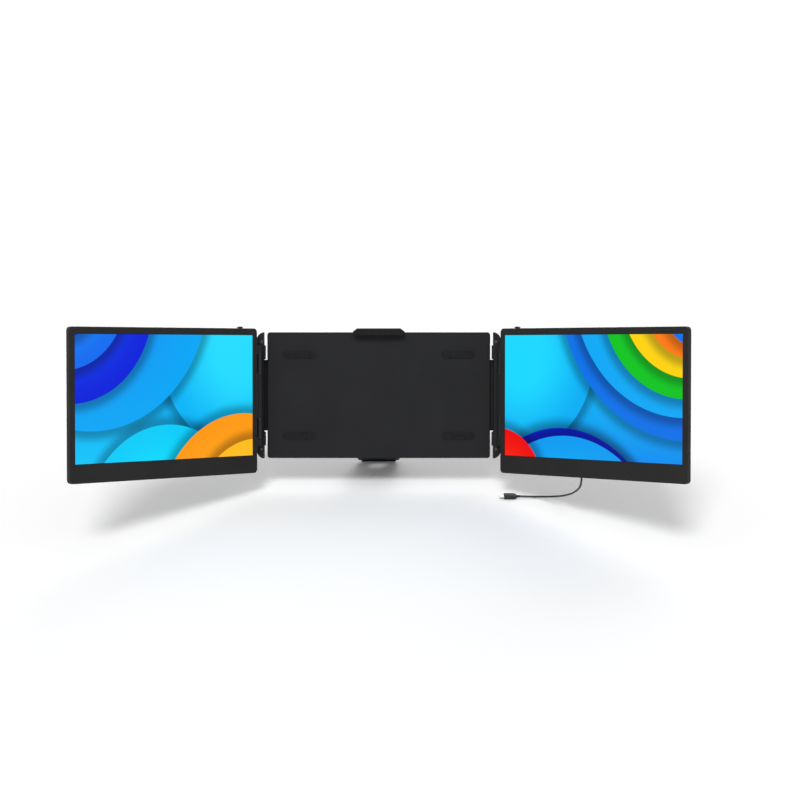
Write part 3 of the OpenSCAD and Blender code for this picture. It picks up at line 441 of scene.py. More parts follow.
def acetal(name):
    """Turned acetal: ivory, waxy, with faint turning marks 0.5 mm apart."""
    material, tree, place = patterned(name)
    marks = put(
        tree,
        "ShaderNodeTexWave",
        {"Vector": place, "Scale": WAVE_REPEAT / (0.5 * MM), "Distortion": 0.4},
        bands_direction="X",
    ).outputs["Fac"]
    shade = put(
        tree, "ShaderNodeMix", {FACTOR: marks, BELOW: linear("#DAD7CA"), ABOVE: linear("#E4E1D6")}, **BLEND
    )
    bump = put(tree, "ShaderNodeBump", {"Strength": 0.15, "Distance": 0.02 * MM, "Height": marks})
    shader = put(
        tree,
        "ShaderNodeBsdfPrincipled",
        {"Base Color": shade.outputs[MIXED], "Roughness": 0.45, "Normal": bump.outputs[0], "IOR": 1.48},
    )
    return closed(material, shader)


# ---------------------------------------- lit screens

# Width of a sheet's soft edge and reach of the shadow that it casts, as shares of the screen's width
SHEET_EDGE, SHEET_SHADOW = 0.002, 0.07
# Round sheets from back to front: centre and radius as shares of the screen's width, inner and rim colour
LEFT_SHEETS = (
    ((0.92, 0.50), 0.46, "#27DCFF", "#0AB4F8"),
    ((0.10, 0.78), 0.64, "#0A8CF2", "#06A6F6"),
    ((-0.02, 0.70), 0.44, "#0A46EC", "#0620DC"),
    ((-0.06, 0.74), 0.335, "#168CF4", "#0E6CF0"),
    ((-0.10, 0.78), 0.25, "#0614C4", "#0A22E4"),
    ((0.50, -0.30), 0.46, "#00ECFF", "#08CCFA"),
    ((0.94, -0.30), 0.50, "#FFB21A", "#FF9A10"),
    ((1.02, -0.30), 0.38, "#FFD84A", "#FFBC1C"),
    ((1.08, -0.26), 0.22, "#2AD8CC", "#16BDB4"),
)
RIGHT_SHEETS = (
    ((0.10, 0.46), 0.42, "#1CD8FF", "#0AAEF6"),
    ((1.02, 0.80), 0.70, "#0A86EE", "#0A72E8"),
    ((1.00, 0.80), 0.60, "#0CC4FA", "#0AA8F6"),
    ((1.02, 0.74), 0.46, "#1AE23A", "#0CC41E"),
    ((1.04, 0.74), 0.37, "#FFE92A", "#FFD200"),
    ((1.06, 0.72), 0.27, "#FF9A12", "#FF7A0A"),
    ((1.06, 0.66), 0.15, "#12A8F4", "#0A6CEC"),
    ((0.34, -0.42), 0.56, "#0A3CE4", "#0618CC"),
    ((0.36, -0.44), 0.545, "#06C8FA", "#0A9CF2"),
    ((-0.04, -0.14), 0.27, "#FF2A12", "#EE0A0A"),
)


def paper_disc(tree, place, below, centre, radius, middle, rim):
    """One round sheet of a layered picture: a clean edge, a soft shade on what is below, a fade inside."""
    away = put(
        tree, "ShaderNodeVectorMath", {0: place, 1: (centre[0], 0.0, centre[1])}, operation="DISTANCE"
    ).outputs["Value"]
    inside = put(
        tree,
        "ShaderNodeMapRange",
        {"Value": away, "From Min": radius - SHEET_EDGE, "From Max": radius, "To Min": 1.0, "To Max": 0.0},
    )
    shadow = put(
        tree,
        "ShaderNodeMapRange",
        {"Value": away, "From Min": radius, "From Max": radius + SHEET_SHADOW, "To Min": 0.5, "To Max": 1.0},
        interpolation_type="SMOOTHERSTEP",
    )
    # The inner colour holds for a quarter of the radius
    fade = put(
        tree,
        "ShaderNodeMapRange",
        {"Value": away, "From Min": radius * 0.25, "From Max": radius, "To Min": 0.0, "To Max": 1.0},
        interpolation_type="SMOOTHSTEP",
    )
    own = put(
        tree, "ShaderNodeMix", {FACTOR: fade.outputs[0], BELOW: linear(middle), ABOVE: linear(rim)}, **BLEND
    )
    shaded = put(
        tree, "ShaderNodeMix", {FACTOR: 1.0, BELOW: below, ABOVE: shadow.outputs["Result"]}, **MULTIPLY
    )
    return put(
        tree,
        "ShaderNodeMix",
        {FACTOR: inside.outputs[0], BELOW: shaded.outputs[MIXED], ABOVE: own.outputs[MIXED]},
        **BLEND,
    ).outputs[MIXED]


def lit_panel(name, side, sheets, low, high):
    """Bonded glass over a lit liquid crystal layer: black where unlit, with a picture of round sheets."""
    s = bpy.context.scene.extender_sizes
    tall = s.screen_h / s.screen_w
    material, tree, point = patterned(name)
    corner = picture_frame(side)
    place = put(
        tree,
        "ShaderNodeMapping",
        {
            "Vector": point,
            "Location": corner.translation,
            "Rotation": corner.to_euler("XYZ"),
            "Scale": (s.screen_w,) * 3,
        },
        vector_type="TEXTURE",
    ).outputs["Vector"]
    axes = put(tree, "ShaderNodeSeparateXYZ", {"Vector": place})
    # Under the sheets the colour runs from the low one at the foot to the high one at the top
    climb = put(tree, "ShaderNodeMapRange", {"Value": axes.outputs["Z"], "From Min": 0.0, "From Max": tall})
    picture = put(
        tree, "ShaderNodeMix", {FACTOR: climb.outputs[0], BELOW: linear(low), ABOVE: linear(high)}, **BLEND
    ).outputs[MIXED]
    for sheet in sheets:
        picture = paper_disc(tree, place, picture, *sheet)
    # The picture stops a little inside the opening, where the black matrix shows as a dark rim
    rim = s.dark_rim / s.screen_w
    within = []
    for axis, far in (("X", 1.0), ("Z", tall)):
        half = put(tree, "ShaderNodeMath", {0: axes.outputs[axis], 1: far / 2}, operation="SUBTRACT")
        reach = put(tree, "ShaderNodeMath", {0: half.outputs[0]}, operation="ABSOLUTE")
        inner = put(tree, "ShaderNodeMath", {0: reach.outputs[0], 1: far / 2 - rim}, operation="LESS_THAN")
        within.append(inner.outputs[0])
    lit = put(tree, "ShaderNodeMath", {0: within[0], 1: within[1]}, operation="MULTIPLY")
    shown = put(
        tree, "ShaderNodeMix", {FACTOR: lit.outputs[0], BELOW: linear("#000000"), ABOVE: picture}, **BLEND
    )
    # Anti-glare glass has a fine etch, about 0.1 mm, drawn at 1 mm so that it shows
    etch = put(tree, "ShaderNodeTexNoise", {"Vector": place, "Scale": s.screen_w / (1 * MM), "Detail": 1.0})
    rough = put(
        tree, "ShaderNodeMapRange", {"Value": etch.outputs["Fac"], **NOISE, "To Min": 0.2, "To Max": 0.26}
    )
    shader = put(
        tree,
        "ShaderNodeBsdfPrincipled",
        {
            "Base Color": linear("#050607"),
            "Roughness": rough.outputs["Result"],
            "IOR": 1.5,
            "Specular IOR Level": 0.07,
            "Emission Color": shown.outputs[MIXED],
            "Emission Strength": 1.0,
        },
    )
    return closed(material, shader)


# ---------------------------------------- stage

# For a square picture of this many pixels: the camera's focal length and the column that is straight ahead
PICTURE_PX, FOCAL_PX, AHEAD_PX = 800, 1798, 378.75
# Place of the camera in metres, and how far it looks down in degrees
CAMERA_PLACE, CAMERA_DIP = (0, -2.36691, 0.74182), 19.56
# Height of the floor, 0.2 mm under the lowest pieces, and its reach to each side, in metres
FLOOR_Z, FLOOR_REACH = -0.2102, 40
# Share of its own light that keeps the floor white to the eye, and the light from all round
FLOOR_GLOW, WORLD_LIGHT = 0.07, 0.45
# Strength, spread in degrees and direction of each lamp. The key stands high in front and a little to the
# left, so that shadows lie under the monitors; the fill stands behind on the right and opens up the backs
LAMPS = (
    ("key_light", 1.5, 20, (-0.15, -0.62, 0.85)),
    ("fill_light", 0.7, 40, (0.3, 0.75, 0.6)),
)


def seen_directly(tree):
    """1 for rays from the camera, from reflections or through glass, and 0 for light that falls on things."""
    path = put(tree, "ShaderNodeLightPath")
    total = path.outputs["Is Camera Ray"]
    for name in ("Is Glossy Ray", "Is Transmission Ray"):
        total = put(tree, "ShaderNodeMath", {0: total, 1: path.outputs[name]}, operation="MAXIMUM").outputs[0]
    return total


class EXTENDER_OT_stage(bpy.types.Operator):
    """Adds the camera, the pale floor and soft studio light"""

    bl_idname = "extender.stage"
    bl_label = "Stage"

    def execute(self, context):
        context.scene.view_settings.view_transform = "Standard"
        self.camera(context)
        self.floor(context)
        self.world(context)
        self.lamps(context)
        return {"FINISHED"}

    def camera(self, context):
        """Looks down on the front of the extender."""
        lens = bpy.data.cameras.new("front_camera")
        lens.sensor_width = 36
        lens.lens = FOCAL_PX / PICTURE_PX * lens.sensor_width
        lens.shift_x = (PICTURE_PX / 2 - AHEAD_PX) / PICTURE_PX
        lens.clip_end = 200
        camera = bpy.data.objects.new("front_camera", lens)
        camera.location = CAMERA_PLACE
        camera.rotation_euler = (math.radians(90 - CAMERA_DIP), 0, 0)
        context.scene.collection.objects.link(camera)
        context.scene.camera = camera

    def floor(self, context):
        """Matt white board: its own light keeps it white to the eye, and the rest of it takes the shadows."""
        bm = bmesh.new()
        level = Matrix.Translation((0, 0, FLOOR_Z))
        bmesh.ops.create_grid(bm, x_segments=1, y_segments=1, size=FLOOR_REACH, matrix=level)
        mesh = bpy.data.meshes.new("floor")
        bm.to_mesh(mesh)
        bm.free()
        floor = bpy.data.objects.new("floor", mesh)
        context.scene.collection.objects.link(floor)
        material, tree = new_material("Matt white studio floor")
        colour = tuple(context.scene.extender_colours.floor)
        matt = put(tree, "ShaderNodeBsdfDiffuse", {"Color": colour, "Roughness": 0.0})
        glow = put(tree, "ShaderNodeMath", {0: seen_directly(tree), 1: FLOOR_GLOW}, operation="MULTIPLY")
        lift = put(tree, "ShaderNodeEmission", {"Color": colour, "Strength": glow.outputs[0]})
        both = put(tree, "ShaderNodeAddShader", {0: matt.outputs[0], 1: lift.outputs[0]})
        mesh.materials.append(closed(material, both))

    def world(self, context):
        """White to the eye and in reflections, and a soft light from all round on the extender."""
        world = bpy.data.worlds.new("White studio")
        world.use_nodes = True
        tree = world.node_tree
        tree.nodes.clear()
        soft = put(tree, "ShaderNodeBackground", {"Color": (1, 1, 1, 1), "Strength": WORLD_LIGHT})
        white = put(tree, "ShaderNodeBackground", {"Color": (1, 1, 1, 1), "Strength": 1.0})
        eye = seen_directly(tree)
        both = put(tree, "ShaderNodeMixShader", {0: eye, 1: soft.outputs[0], 2: white.outputs[0]})
        put(tree, "ShaderNodeOutputWorld", {"Surface": both.outputs[0]})
        context.scene.world = world

    def lamps(self, context):
        """Broad lamps far away, which light the extender at a plain level."""
        for name, energy, spread, towards in LAMPS:
            sun = bpy.data.lights.new(name, "SUN")
            sun.energy = energy
            sun.angle = math.radians(spread)
            lamp = bpy.data.objects.new(name, sun)
            lamp.rotation_euler = Vector(towards).to_track_quat("Z", "Y").to_euler()
            context.scene.collection.objects.link(lamp)


# ---------------------------------------- shapes

# Steps round a turned part or a screw's head
ROUND_STEPS = 28
# Cross recess, as shares of the head's width: reach of its arms and half their width. Then its depth as a
# share of the head's height, and the share of its width that is left at its floor
RECESS_REACH, RECESS_HALF, RECESS_DEEP, RECESS_LEFT = 0.31, 0.085, 0.75, 0.8

def rounded_bar(width, height, long, radius, edge=0.0, shoulder=0.0, shoulder_in=0.0):
    """A bar in millimetres, along z from 0, with round corners, an eased front and a narrowing far end."""
    bm = bmesh.new()
    block = Matrix.Translation((0, 0, long / 2)) @ Matrix.Diagonal((width, height, long, 1))
    bmesh.ops.create_cube(bm, size=1.0, matrix=block)
    upright = [e for e in bm.edges if abs(e.verts[0].co.z - e.verts[1].co.z) > long / 2]
    bmesh.ops.bevel(bm, geom=upright, offset=radius, segments=8, profile=0.5, affect="EDGES", material=-1)
    if shoulder:
        far = max(bm.faces, key=lambda f: f.calc_center_median().z)
        grown = bmesh.ops.extrude_face_region(bm, geom=[far])["geom"]
        verts = [g for g in grown if isinstance(g, bmesh.types.BMVert)]
        bmesh.ops.delete(bm, geom=[far], context="FACES_ONLY")
        bmesh.ops.translate(bm, verts=verts, vec=(0, 0, shoulder))
        shrink = (1 - 2 * shoulder_in / width, 1 - 2 * shoulder_in / height, 1)
        bmesh.ops.scale(bm, vec=shrink, verts=verts)
    if edge:
        front = [e for e in bm.edges if max(v.co.z for v in e.verts) < 1e-6]
        bmesh.ops.bevel(bm, geom=front, offset=edge, segments=3, profile=0.5, affect="EDGES", material=-1)
    return bm


def turned_part(profile):
    """A round part in millimetres, spun about z from a profile of (radius, z) points."""
    bm = bmesh.new()
    verts = [bm.verts.new((r, 0, z)) for r, z in profile]
    edges = [bm.edges.new(pair) for pair in zip(verts, verts[1:])]
    bmesh.ops.spin(
        bm,
        geom=verts + edges,
        cent=(0, 0, 0),
        axis=(0, 0, 1),
        angle=2 * math.pi,
        steps=ROUND_STEPS,
        use_merge=True,
        use_duplicate=False,
    )
    bmesh.ops.remove_doubles(bm, verts=bm.verts, dist=0.02)
    return bm


def cross_screw(head, head_h, shank, long):
    """Countersunk screw in millimetres, head up at z = 0, with a tapered cross recess."""
    bm = bmesh.new()
    bmesh.ops.create_circle(bm, segments=ROUND_STEPS, radius=head / 2)
    rim_edges = list(bm.edges)
    arm, wide = head * RECESS_REACH, head * RECESS_HALF
    corners = [(wide, wide), (wide, arm), (-wide, arm)]
    for _ in range(3):
        corners += [(-y, x) for x, y in corners[-3:]]
    cross = [bm.verts.new((x, y, 0)) for x, y in corners]
    cross_edges = [bm.edges.new((cross[i - 1], cross[i])) for i in range(12)]
    bmesh.ops.triangle_fill(bm, edges=rim_edges + cross_edges, use_beauty=True)
    for edges, steps in (
        (cross_edges, ((RECESS_LEFT, head_h * RECESS_DEEP),)),
        (rim_edges, ((shank / head, head_h), (1.0, long - head_h))),
    ):
        for shrink, drop in steps:
            grown = bmesh.ops.extrude_edge_only(bm, edges=edges)["geom"]
            verts = {g for g in grown if isinstance(g, bmesh.types.BMVert)}
            edges = [g for g in grown if isinstance(g, bmesh.types.BMEdge) and verts.issuperset(g.verts)]
            bmesh.ops.scale(bm, vec=(shrink, shrink, 1), verts=list(verts))
            bmesh.ops.translate(bm, vec=(0, 0, -drop), verts=list(verts))
        bmesh.ops.edgeloop_fill(bm, edges=edges)
    return bm


# ---------------------------------------- lead

# Points that the lead follows, from the relief of the monitor's plug to that of the laptop's plug, in metres
LEAD_ROUTE = (
    (0.2676, -0.1667, -0.1462),
    (0.2671, -0.169, -0.153),
    (0.2663, -0.168, -0.1594),
    (0.2648, -0.1615, -0.1665),
    (0.2622, -0.1495, -0.1752),
    (0.2587, -0.1355, -0.1841),
    (0.2542, -0.1205, -0.1924),
    (0.2472, -0.1065, -0.1998),
    (0.2362, -0.0956, -0.2052),
    (0.222, -0.0894, -0.2079),
    (0.2074, -0.0888, -0.208),
    (0.1924, -0.09, -0.207),
)
# Steps from each of those points to the next
LEAD_STEPS = 3

# Plugs, in millimetres. Middle of the sockets behind the monitor's front, and their mouth over its lower edge
SOCKET_Y, MOUTH_RISE = 5.5, 18.4
# Mouth of the laptop's plug, which lies on the floor and points to the left
LAPTOP_MOUTH = (171.5, -90, -207)
# Lengths of the two moulded bodies
MONITOR_PLUG, LAPTOP_PLUG = 12.5, 17.0
# Their narrowing end, how far it narrows, and the rounding of their corners and front
SHOULDER, SHOULDER_IN, PLUG_CORNER, PLUG_EDGE = 4, 1.1, 1.8, 0.5
# Plated shell: width, height, length, rounding of its corners and how far it stands out of the body
SHELL_W, SHELL_H, SHELL_LONG, SHELL_CORNER, SHELL_REACH = 8.2, 2.4, 6.05, 1.18, 6
# Wall of the shell and depth of its mouth
SHELL_WALL, SHELL_MOUTH = 0.3, 5.0
# Relief behind the body: its root inside the body, its length and its radius at the lead
RELIEF_ROOT, RELIEF_LONG, RELIEF_END_R = 1.2, 4.49, 1.6
# Its ribs: number, spacing, radius of the first, loss of radius from each to the next, depth of the grooves
RIBS, RIB_PITCH, RIB_R, RIB_LOSS, GROOVE = 4, 1.05, 1.85, 0.07, 0.22
# Start of the first rib behind the body, width of a rib, and start and end of the groove from the rib's start
RIBS_START, RIB_W, GROOVE_START, GROOVE_END = 0.2, 0.55, 0.65, 0.95


def eased_route(points, steps):
    """The same smooth route as the frame's: a curve through every point, each span in equal steps."""
    route = []
    for i in range(len(points) - 1):
        a, b, c, d = (Vector(points[min(max(i + k, 0), len(points) - 1)]) for k in (-1, 0, 1, 2))
        for step in range(steps):
            t = step / steps
            bend, twist = 2 * a - 5 * b + 4 * c - d, 3 * b - a - 3 * c + d
            route.append(0.5 * (2 * b + (c - a) * t + bend * t * t + twist * t**3))
    return route + [Vector(points[-1])]


class EXTENDER_OT_lead(bpy.types.Operator):
    """Adds the short lead from the right monitor and its two plugs"""

    bl_idname = "extender.lead"
    bl_label = "Lead and plugs"

    def execute(self, context):
        s, c = context.scene.extender_sizes, context.scene.extender_colours
        moulded = soft_tpe("Moulded TPE plug", c.plug)
        nickel = drawn_metal("Nickel-plated plug shell", linear("#C9C7C0"), 0.22)
        plugs = [
            *self.plug("monitor", self.monitor_end(s), MONITOR_PLUG, moulded, nickel),
            *self.plug("laptop", self.laptop_end(), LAPTOP_PLUG, moulded, nickel),
        ]
        route = eased_route(LEAD_ROUTE, LEAD_STEPS)
        curve = bpy.data.curves.new("lead", "CURVE")
        curve.dimensions = "3D"
        curve.bevel_depth = s.cord_d / 2
        curve.bevel_resolution = 5
        curve.use_fill_caps = True
        curve.materials.append(soft_tpe("Extruded TPE jacket", c.jacket))
        line = curve.splines.new("POLY")
        line.points.add(len(route) - 1)
        for point, place in zip(line.points, route):
            point.co = (*place, 1)
        line.use_smooth = True
        lead = bpy.data.objects.new("lead", curve)
        context.scene.collection.objects.link(lead)
        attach(lead, "right_monitor")
        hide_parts("usb_c_cable")
        return {"FINISHED"}

    def monitor_end(self, s):
        """Mouth of the first socket, looking down and out of the bay."""
        mouth = Matrix.Translation((s.port_x, SOCKET_Y * MM, -s.mon_h + MOUTH_RISE * MM))
        return monitor_frame(RIGHT) @ mouth @ Matrix.Rotation(math.pi, 4, "X")

    def laptop_end(self):
        """Mouth at the laptop's side: the plug's z runs to the right, its x back and its y up."""
        return at_mm(*LAPTOP_MOUTH) @ Matrix(((0, 0, 1, 0), (1, 0, 0, 0), (0, 1, 0, 0), (0, 0, 0, 1)))

    def plug(self, end, place, long, moulded, nickel):
        """Moulded plug with a ribbed relief behind it and a hollow plated shell in front."""
        s = bpy.context.scene.extender_sizes
        body = rounded_bar(
            s.plug_w / MM, s.plug_t / MM, long - SHOULDER, PLUG_CORNER, PLUG_EDGE, SHOULDER, SHOULDER_IN
        )
        grip = gathered([(body, place), (self.relief(long), place)])
        shell = gathered([(self.shell(), place @ at_mm(0, 0, -SHELL_REACH))])
        return [
            as_piece(f"{end}_plug", grip, moulded, "right_monitor", [f"usb_c_plug_{end}"]),
            as_piece(f"{end}_plug_shell", shell, nickel, "right_monitor"),
        ]

    def relief(self, start):
        """Strain relief in millimetres, whose ribs grow thinner towards the lead."""
        profile = [(0, start - RELIEF_ROOT), (RIB_R, start - RELIEF_ROOT), (RIB_R, start)]
        for i in range(RIBS):
            near, wide = start + RIBS_START + i * RIB_PITCH, RIB_R - i * RIB_LOSS
            rib = [(wide, near), (wide, near + RIB_W)]
            groove = [(wide - GROOVE, near + GROOVE_START), (wide - GROOVE, near + GROOVE_END)]
            profile += rib + groove
        return turned_part(profile + [(RELIEF_END_R, start + RELIEF_LONG), (0, start + RELIEF_LONG)])

    def shell(self):
        """Shell in millimetres, with its mouth at z = 0."""
        bm = rounded_bar(SHELL_W, SHELL_H, SHELL_LONG, SHELL_CORNER)
        mouth = min(bm.faces, key=lambda f: f.calc_center_median().z)
        bmesh.ops.inset_region(bm, faces=[mouth], thickness=SHELL_WALL, use_even_offset=True)
        inner = bmesh.ops.extrude_face_region(bm, geom=[mouth])["geom"]
        verts = [g for g in inner if isinstance(g, bmesh.types.BMVert)]
        bmesh.ops.translate(bm, verts=verts, vec=(0, 0, SHELL_MOUTH))
        bmesh.ops.delete(bm, geom=[mouth], context="FACES")
        return bm


# ---------------------------------------- finishes on the frame


class EXTENDER_OT_screens(bpy.types.Operator):
    """Lights both display panels"""

    bl_idname = "extender.screens"
    bl_label = "Screens"

    def execute(self, context):
        for side, sheets, low, high in (
            (LEFT, LEFT_SHEETS, "#12C4FA", "#0A9CF4"),
            (RIGHT, RIGHT_SHEETS, "#0A8EF0", "#14CFFC"),
        ):
            finish_of(lit_panel(f"Lit glass panel {side}", side, sheets, low, high), f"{side}_display_panel")
        return {"FINISHED"}


class EXTENDER_OT_shells(bpy.types.Operator):
    """Finishes the moulded housings, brackets, bezels, clip, leg and pads"""

    bl_idname = "extender.shells"
    bl_label = "Moulded shells"

    def execute(self, context):
        c = context.scene.extender_colours
        housing = ("centre_front_panel", "centre_rear_cover", "kickstand_leg", *sided("bracket"))
        pads = ("lid_pads", "top_clip_pad", "kickstand_foot", *sided("hook_pads"))
        for name, colour, grain_mm, roughness, sheen, depth_mm, nodes in (
            ("Moulded ABS bezel", c.bezel, 1.1, 0.48, 0.12, 0.05, sided("bezel_frame")),
            ("Textured ABS housing", c.housing, 1.2, 0.58, 0.14, 0.1, housing),
            # The clip's darker colour is painted shade on the housing's moulding
            ("Textured ABS clip", c.clip, 1.2, 0.58, 0.14, 0.1, ["top_clip"]),
            # The back covers' lighter colour is painted light on the housing's moulding
            ("Textured ABS back cover", c.cover, 1.2, 0.55, 0.16, 0.1, sided("back_cover")),
        ):
            finish_of(moulded_abs(name, colour, grain_mm, roughness, sheen, depth_mm), *nodes)
        finish_of(silicone_rubber("Silicone rubber", c.rubber), *pads)
        return {"FINISHED"}


class EXTENDER_OT_works(bpy.types.Operator):
    """Finishes the rods, pins, hinges, boards, ribbons, sockets and bushings"""

    bl_idname = "extender.works"
    bl_label = "Metal and electronics"

    def execute(self, context):
        c = context.scene.extender_colours
        drawn = drawn_metal("Drawn steel", c.steel, 0.28)
        black = drawn_metal("Black zinc on steel", c.black_steel, 0.42, metallic=0.5, along="Z", pitch_mm=0.9)
        nickel = drawn_metal("Nickel-plated socket", linear("#BDBCB8"), 0.25, along="Z")
        finish_of(drawn, "guide_rods", "stand_hinge_pin", *sided("hinge_pins", "hinge_screws"))
        finish_of(black, *sided("hinge_leaves"))
        finish_of(nickel, *sided("usb_c_sockets", "mini_hdmi_socket"))
        finish_of(solder_mask("Solder mask board", c.board), *sided("controller_board", "button_board"))
        finish_of(polyimide_film("Polyimide flat cable"), *sided("panel_ribbon"))
        finish_of(acetal("Turned acetal"), *sided("bushings"))
        return {"FINISHED"}


# ---------------------------------------- buttons, spring and screws

# Menu buttons, in millimetres: middle behind the monitor's front, and widths of cap, stem and flange
BUTTON_Y, CAP_T, STEM_T, FLANGE_T = 3.4, 4, 2.4, 3.6
# Lowest points of the stem and of the flange that waits under the wall, and the flange's height and corners
STEM_LOW, FLANGE_LOW, FLANGE_H, FLANGE_CORNER = -2.75, -3.4, 0.7, 0.2
# Pressed home, the cap stops this far over the monitor's edge
PRESSED_GAP = 0.05
# Height of the cap's ends and rounding of its rim; it is cut across at every fourteenth of its length
CAP_END, CAP_EDGE, CAP_CUTS = 0.4, 0.3, 14

# Spring, in millimetres: wire, radius of its turns, foot, top, and how far it lies behind the lid's middle
WIRE, TURN_R, SPRING_LOW, SPRING_HIGH, SPRING_Y = 0.8, 2.6, -54.0, -14.0, 10.2
OPEN_TURNS = 7

# Screws, in millimetres: diameter and height of the head, diameter of the shank and whole length
COVER_SCREW, BRACKET_SCREW, REAR_SCREW = (3.4, 0.8, 1.6, 6), (4, 1, 2, 9), (4.6, 1.2, 2.2, 7)
# Their seats on the centre unit's rear cover, which lies at REAR_Y: x and z
REAR_Y = 15.7
REAR_SEATS = ((-120, -10), (120, -10), (-120, -164), (120, -164), (-40, -87), (40, -87))
# Those on the brackets: x, y, and z of both
BRACKET_X, BRACKET_Y, BRACKET_Z = 161.1, -6.9, (-13, -161)
# Those on the back covers: the top ones in from the sides and their z, the low ones in from the sides and up
# from the foot, and the two low ones beside the sockets, measured from the first socket
TOP_IN, TOP_Z, LOW_IN, LOW_RISE, BAY_SEATS = 60, -3.9, 20, 9, (-34, 66)


class EXTENDER_OT_buttons(bpy.types.Operator):
    """Replaces the menu buttons with ones whose crowned caps have eased rims"""

    bl_idname = "extender.buttons"
    bl_label = "Menu buttons"

    def execute(self, context):
        s, c = context.scene.extender_sizes, context.scene.extender_colours
        plastic = moulded_abs("Moulded ABS button", c.rubber, 1.0, 0.4, 0.3, 0.03)
        long, top = s.button_w / MM, s.button_rise / MM
        foot = s.button_travel / MM + PRESSED_GAP
        for side in SIDES:
            spot = monitor_frame(side) @ Matrix.Translation((s.button_x, BUTTON_Y * MM, 0))
            # The stem runs 0.1 mm up into the cap, and its ends are almost full rounds, as the cap's are
            bars = (
                (self.cap(long, CAP_T, top - foot), foot),
                (rounded_bar(long - 2, STEM_T, foot + 0.1 - STEM_LOW, STEM_T / 2 - 0.01), STEM_LOW),
                (rounded_bar(long, FLANGE_T, FLANGE_H, FLANGE_CORNER), FLANGE_LOW),
            )
            parts = [(bm, spot @ at_mm(0, 0, low)) for bm, low in bars]
            name, body, node = f"{side}_button_crowned", f"{side}_button", f"{side}_menu_button"
            as_piece(name, gathered(parts), plastic, body, [node])
        return {"FINISHED"}

    def cap(self, long, wide, high):
        """Cap in millimetres: round ends, a top that falls in an arc from the middle and an eased rim."""
        bm = rounded_bar(long, wide, high, wide / 2 - 0.01)
        for i in range(-5, 6):
            whole = [*bm.verts, *bm.edges, *bm.faces]
            bmesh.ops.bisect_plane(bm, geom=whole, plane_co=(i * long / CAP_CUTS, 0, 0), plane_no=(1, 0, 0))
        fall = high - CAP_END
        radius = ((long / 2) ** 2 + fall**2) / (2 * fall)
        for v in [v for v in bm.verts if v.co.z > high / 2]:
            bmesh.ops.translate(bm, verts=[v], vec=(0, 0, math.sqrt(radius**2 - v.co.x**2) - radius))
        bm.normal_update()
        # The rim lies where an upright face meets the top
        rim = []
        for edge in bm.edges:
            slopes = [face.normal.z for face in edge.link_faces]
            if min(v.co.z for v in edge.verts) > 0.1 and min(slopes) < 0.1 < max(slopes):
                rim.append(edge)
        bmesh.ops.bevel(bm, geom=rim, offset=CAP_EDGE, segments=3, profile=0.5, affect="EDGES", material=-1)
        return bm


class EXTENDER_OT_spring(bpy.types.Operator):
    """Winds the clip's spring at one length; the real spring shortens as the clip is raised"""

    bl_idname = "extender.spring"
    bl_label = "Clip spring"

    def execute(self, context):
        steel = drawn_metal("Spring wire", context.scene.extender_colours.steel, 0.32, along="Z")
        place = unit_frame() @ at_mm(0, SPRING_Y, 0)
        wound = gathered([(self.wound(), place)])
        piece = as_piece("clip_spring_wound", wound, steel, "centre_unit", ["clip_spring"])
        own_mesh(piece)
        return {"FINISHED"}

    def wound(self):
        """Compression spring in millimetres, along z, with a closed turn at each end."""
        # Closed turns all but touch
        tight = WIRE + 0.05
        pitch = (SPRING_HIGH - SPRING_LOW - WIRE - 2 * tight) / OPEN_TURNS
        bm = bmesh.new()
        start = Matrix.Translation((TURN_R, 0, SPRING_LOW + WIRE / 2)) @ Matrix.Rotation(math.pi / 2, 4, "X")
        bmesh.ops.create_circle(bm, segments=10, radius=WIRE / 2, matrix=start)
        grown = [*bm.verts, *bm.edges]
        for turns, rise in ((1, tight), (OPEN_TURNS, pitch), (1, tight)):
            steps = 24 * turns
            grown = bmesh.ops.spin(
                bm,
                geom=grown,
                cent=(0, 0, 0),
                axis=(0, 0, 1),
                dvec=(0, 0, rise * turns / steps),
                angle=2 * math.pi * turns,
                steps=steps,
                use_duplicate=False,
            )["geom_last"]
        bmesh.ops.remove_doubles(bm, verts=bm.verts, dist=0.001)
        bmesh.ops.holes_fill(bm, edges=[e for e in bm.edges if e.is_boundary], sides=0)
        return bm


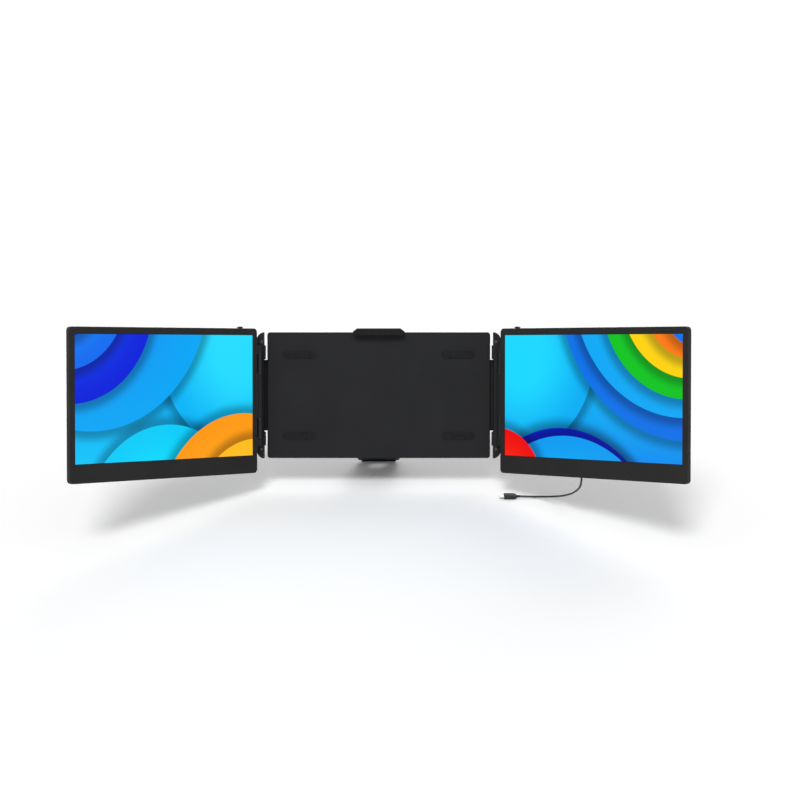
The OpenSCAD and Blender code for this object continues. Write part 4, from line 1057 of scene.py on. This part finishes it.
class EXTENDER_OT_screws(bpy.types.Operator):
    """Replaces the plain screws that can be seen with cross-recessed ones"""

    bl_idname = "extender.screws"
    bl_label = "Screws"

    def execute(self, context):
        s = context.scene.extender_sizes
        metal = drawn_metal("Black oxide screw", linear("#4A4A4E"), 0.3, metallic=0.9)
        w, low = s.mon_w / MM, LOW_RISE - s.mon_h / MM
        beside = [s.port_x / MM + along for along in BAY_SEATS]
        seats = [(TOP_IN, TOP_Z), (w - TOP_IN, TOP_Z), *((x, low) for x in (LOW_IN, *beside, w - LOW_IN))]
        # Turns that make the heads face back or front
        back, front = (Matrix.Rotation(angle, 4, "X") for angle in (-math.pi / 2, math.pi / 2))
        for side in SIDES:
            spots = [
                monitor_frame(side) @ Matrix.Translation((x * MM, s.mon_t, z * MM)) @ back for x, z in seats
            ]
            self.screws(f"{side}_cover_screws", spots, COVER_SCREW, f"{side}_monitor", metal)
            out = -BRACKET_X if side == LEFT else BRACKET_X
            spots = [unit_frame() @ at_mm(out, BRACKET_Y, z) @ front for z in BRACKET_Z]
            self.screws(f"{side}_bracket_screws", spots, BRACKET_SCREW, f"{side}_side_bracket", metal)
        spots = [unit_frame() @ at_mm(x, REAR_Y, z) @ back for x, z in REAR_SEATS]
        self.screws("rear_cover_screws", spots, REAR_SCREW, "centre_unit", metal)
        return {"FINISHED"}

    def screws(self, node, spots, sizes, body, metal):
        """One piece with a screw in each spot, each stopped at its own angle."""
        turned = [spot @ Matrix.Rotation(0.7 * i + 0.3, 4, "Z") for i, spot in enumerate(spots)]
        parts = [(cross_screw(*sizes), place) for place in turned]
        as_piece(node + "_driven", gathered(parts), metal, body, [node])


# ---------------------------------------- add-on


class EXTENDER_PT_panel(bpy.types.Panel):
    """Lists the steps that dress the extender, and its sizes and colours"""

    bl_idname = "EXTENDER_PT_panel"
    bl_label = "Laptop screen extender"
    bl_space_type = "VIEW_3D"
    bl_region_type = "UI"
    bl_category = "Extender"

    def draw(self, context):
        layout = self.layout
        for step in STEPS:
            layout.operator(f"extender.{step}")
        for group in (context.scene.extender_sizes, context.scene.extender_colours):
            box = layout.box()
            for name in group.__annotations__:
                box.prop(group, name)


STEPS = ("stage", "lead", "screens", "shells", "buttons", "works", "spring", "screws")
CLASSES = (
    ExtenderSizes,
    ExtenderColours,
    EXTENDER_OT_stage,
    EXTENDER_OT_lead,
    EXTENDER_OT_screens,
    EXTENDER_OT_shells,
    EXTENDER_OT_buttons,
    EXTENDER_OT_works,
    EXTENDER_OT_spring,
    EXTENDER_OT_screws,
    EXTENDER_PT_panel,
)


def register():
    for item in CLASSES:
        bpy.utils.register_class(item)
    bpy.types.Scene.extender_sizes = PointerProperty(type=ExtenderSizes)
    bpy.types.Scene.extender_colours = PointerProperty(type=ExtenderColours)


def unregister():
    del bpy.types.Scene.extender_colours
    del bpy.types.Scene.extender_sizes
    for item in reversed(CLASSES):
        bpy.utils.unregister_class(item)


def main():
    """Dresses the extender."""
    register()
    for step in STEPS:
        getattr(bpy.ops.extender, step)()


if __name__ == "__main__":
    main()
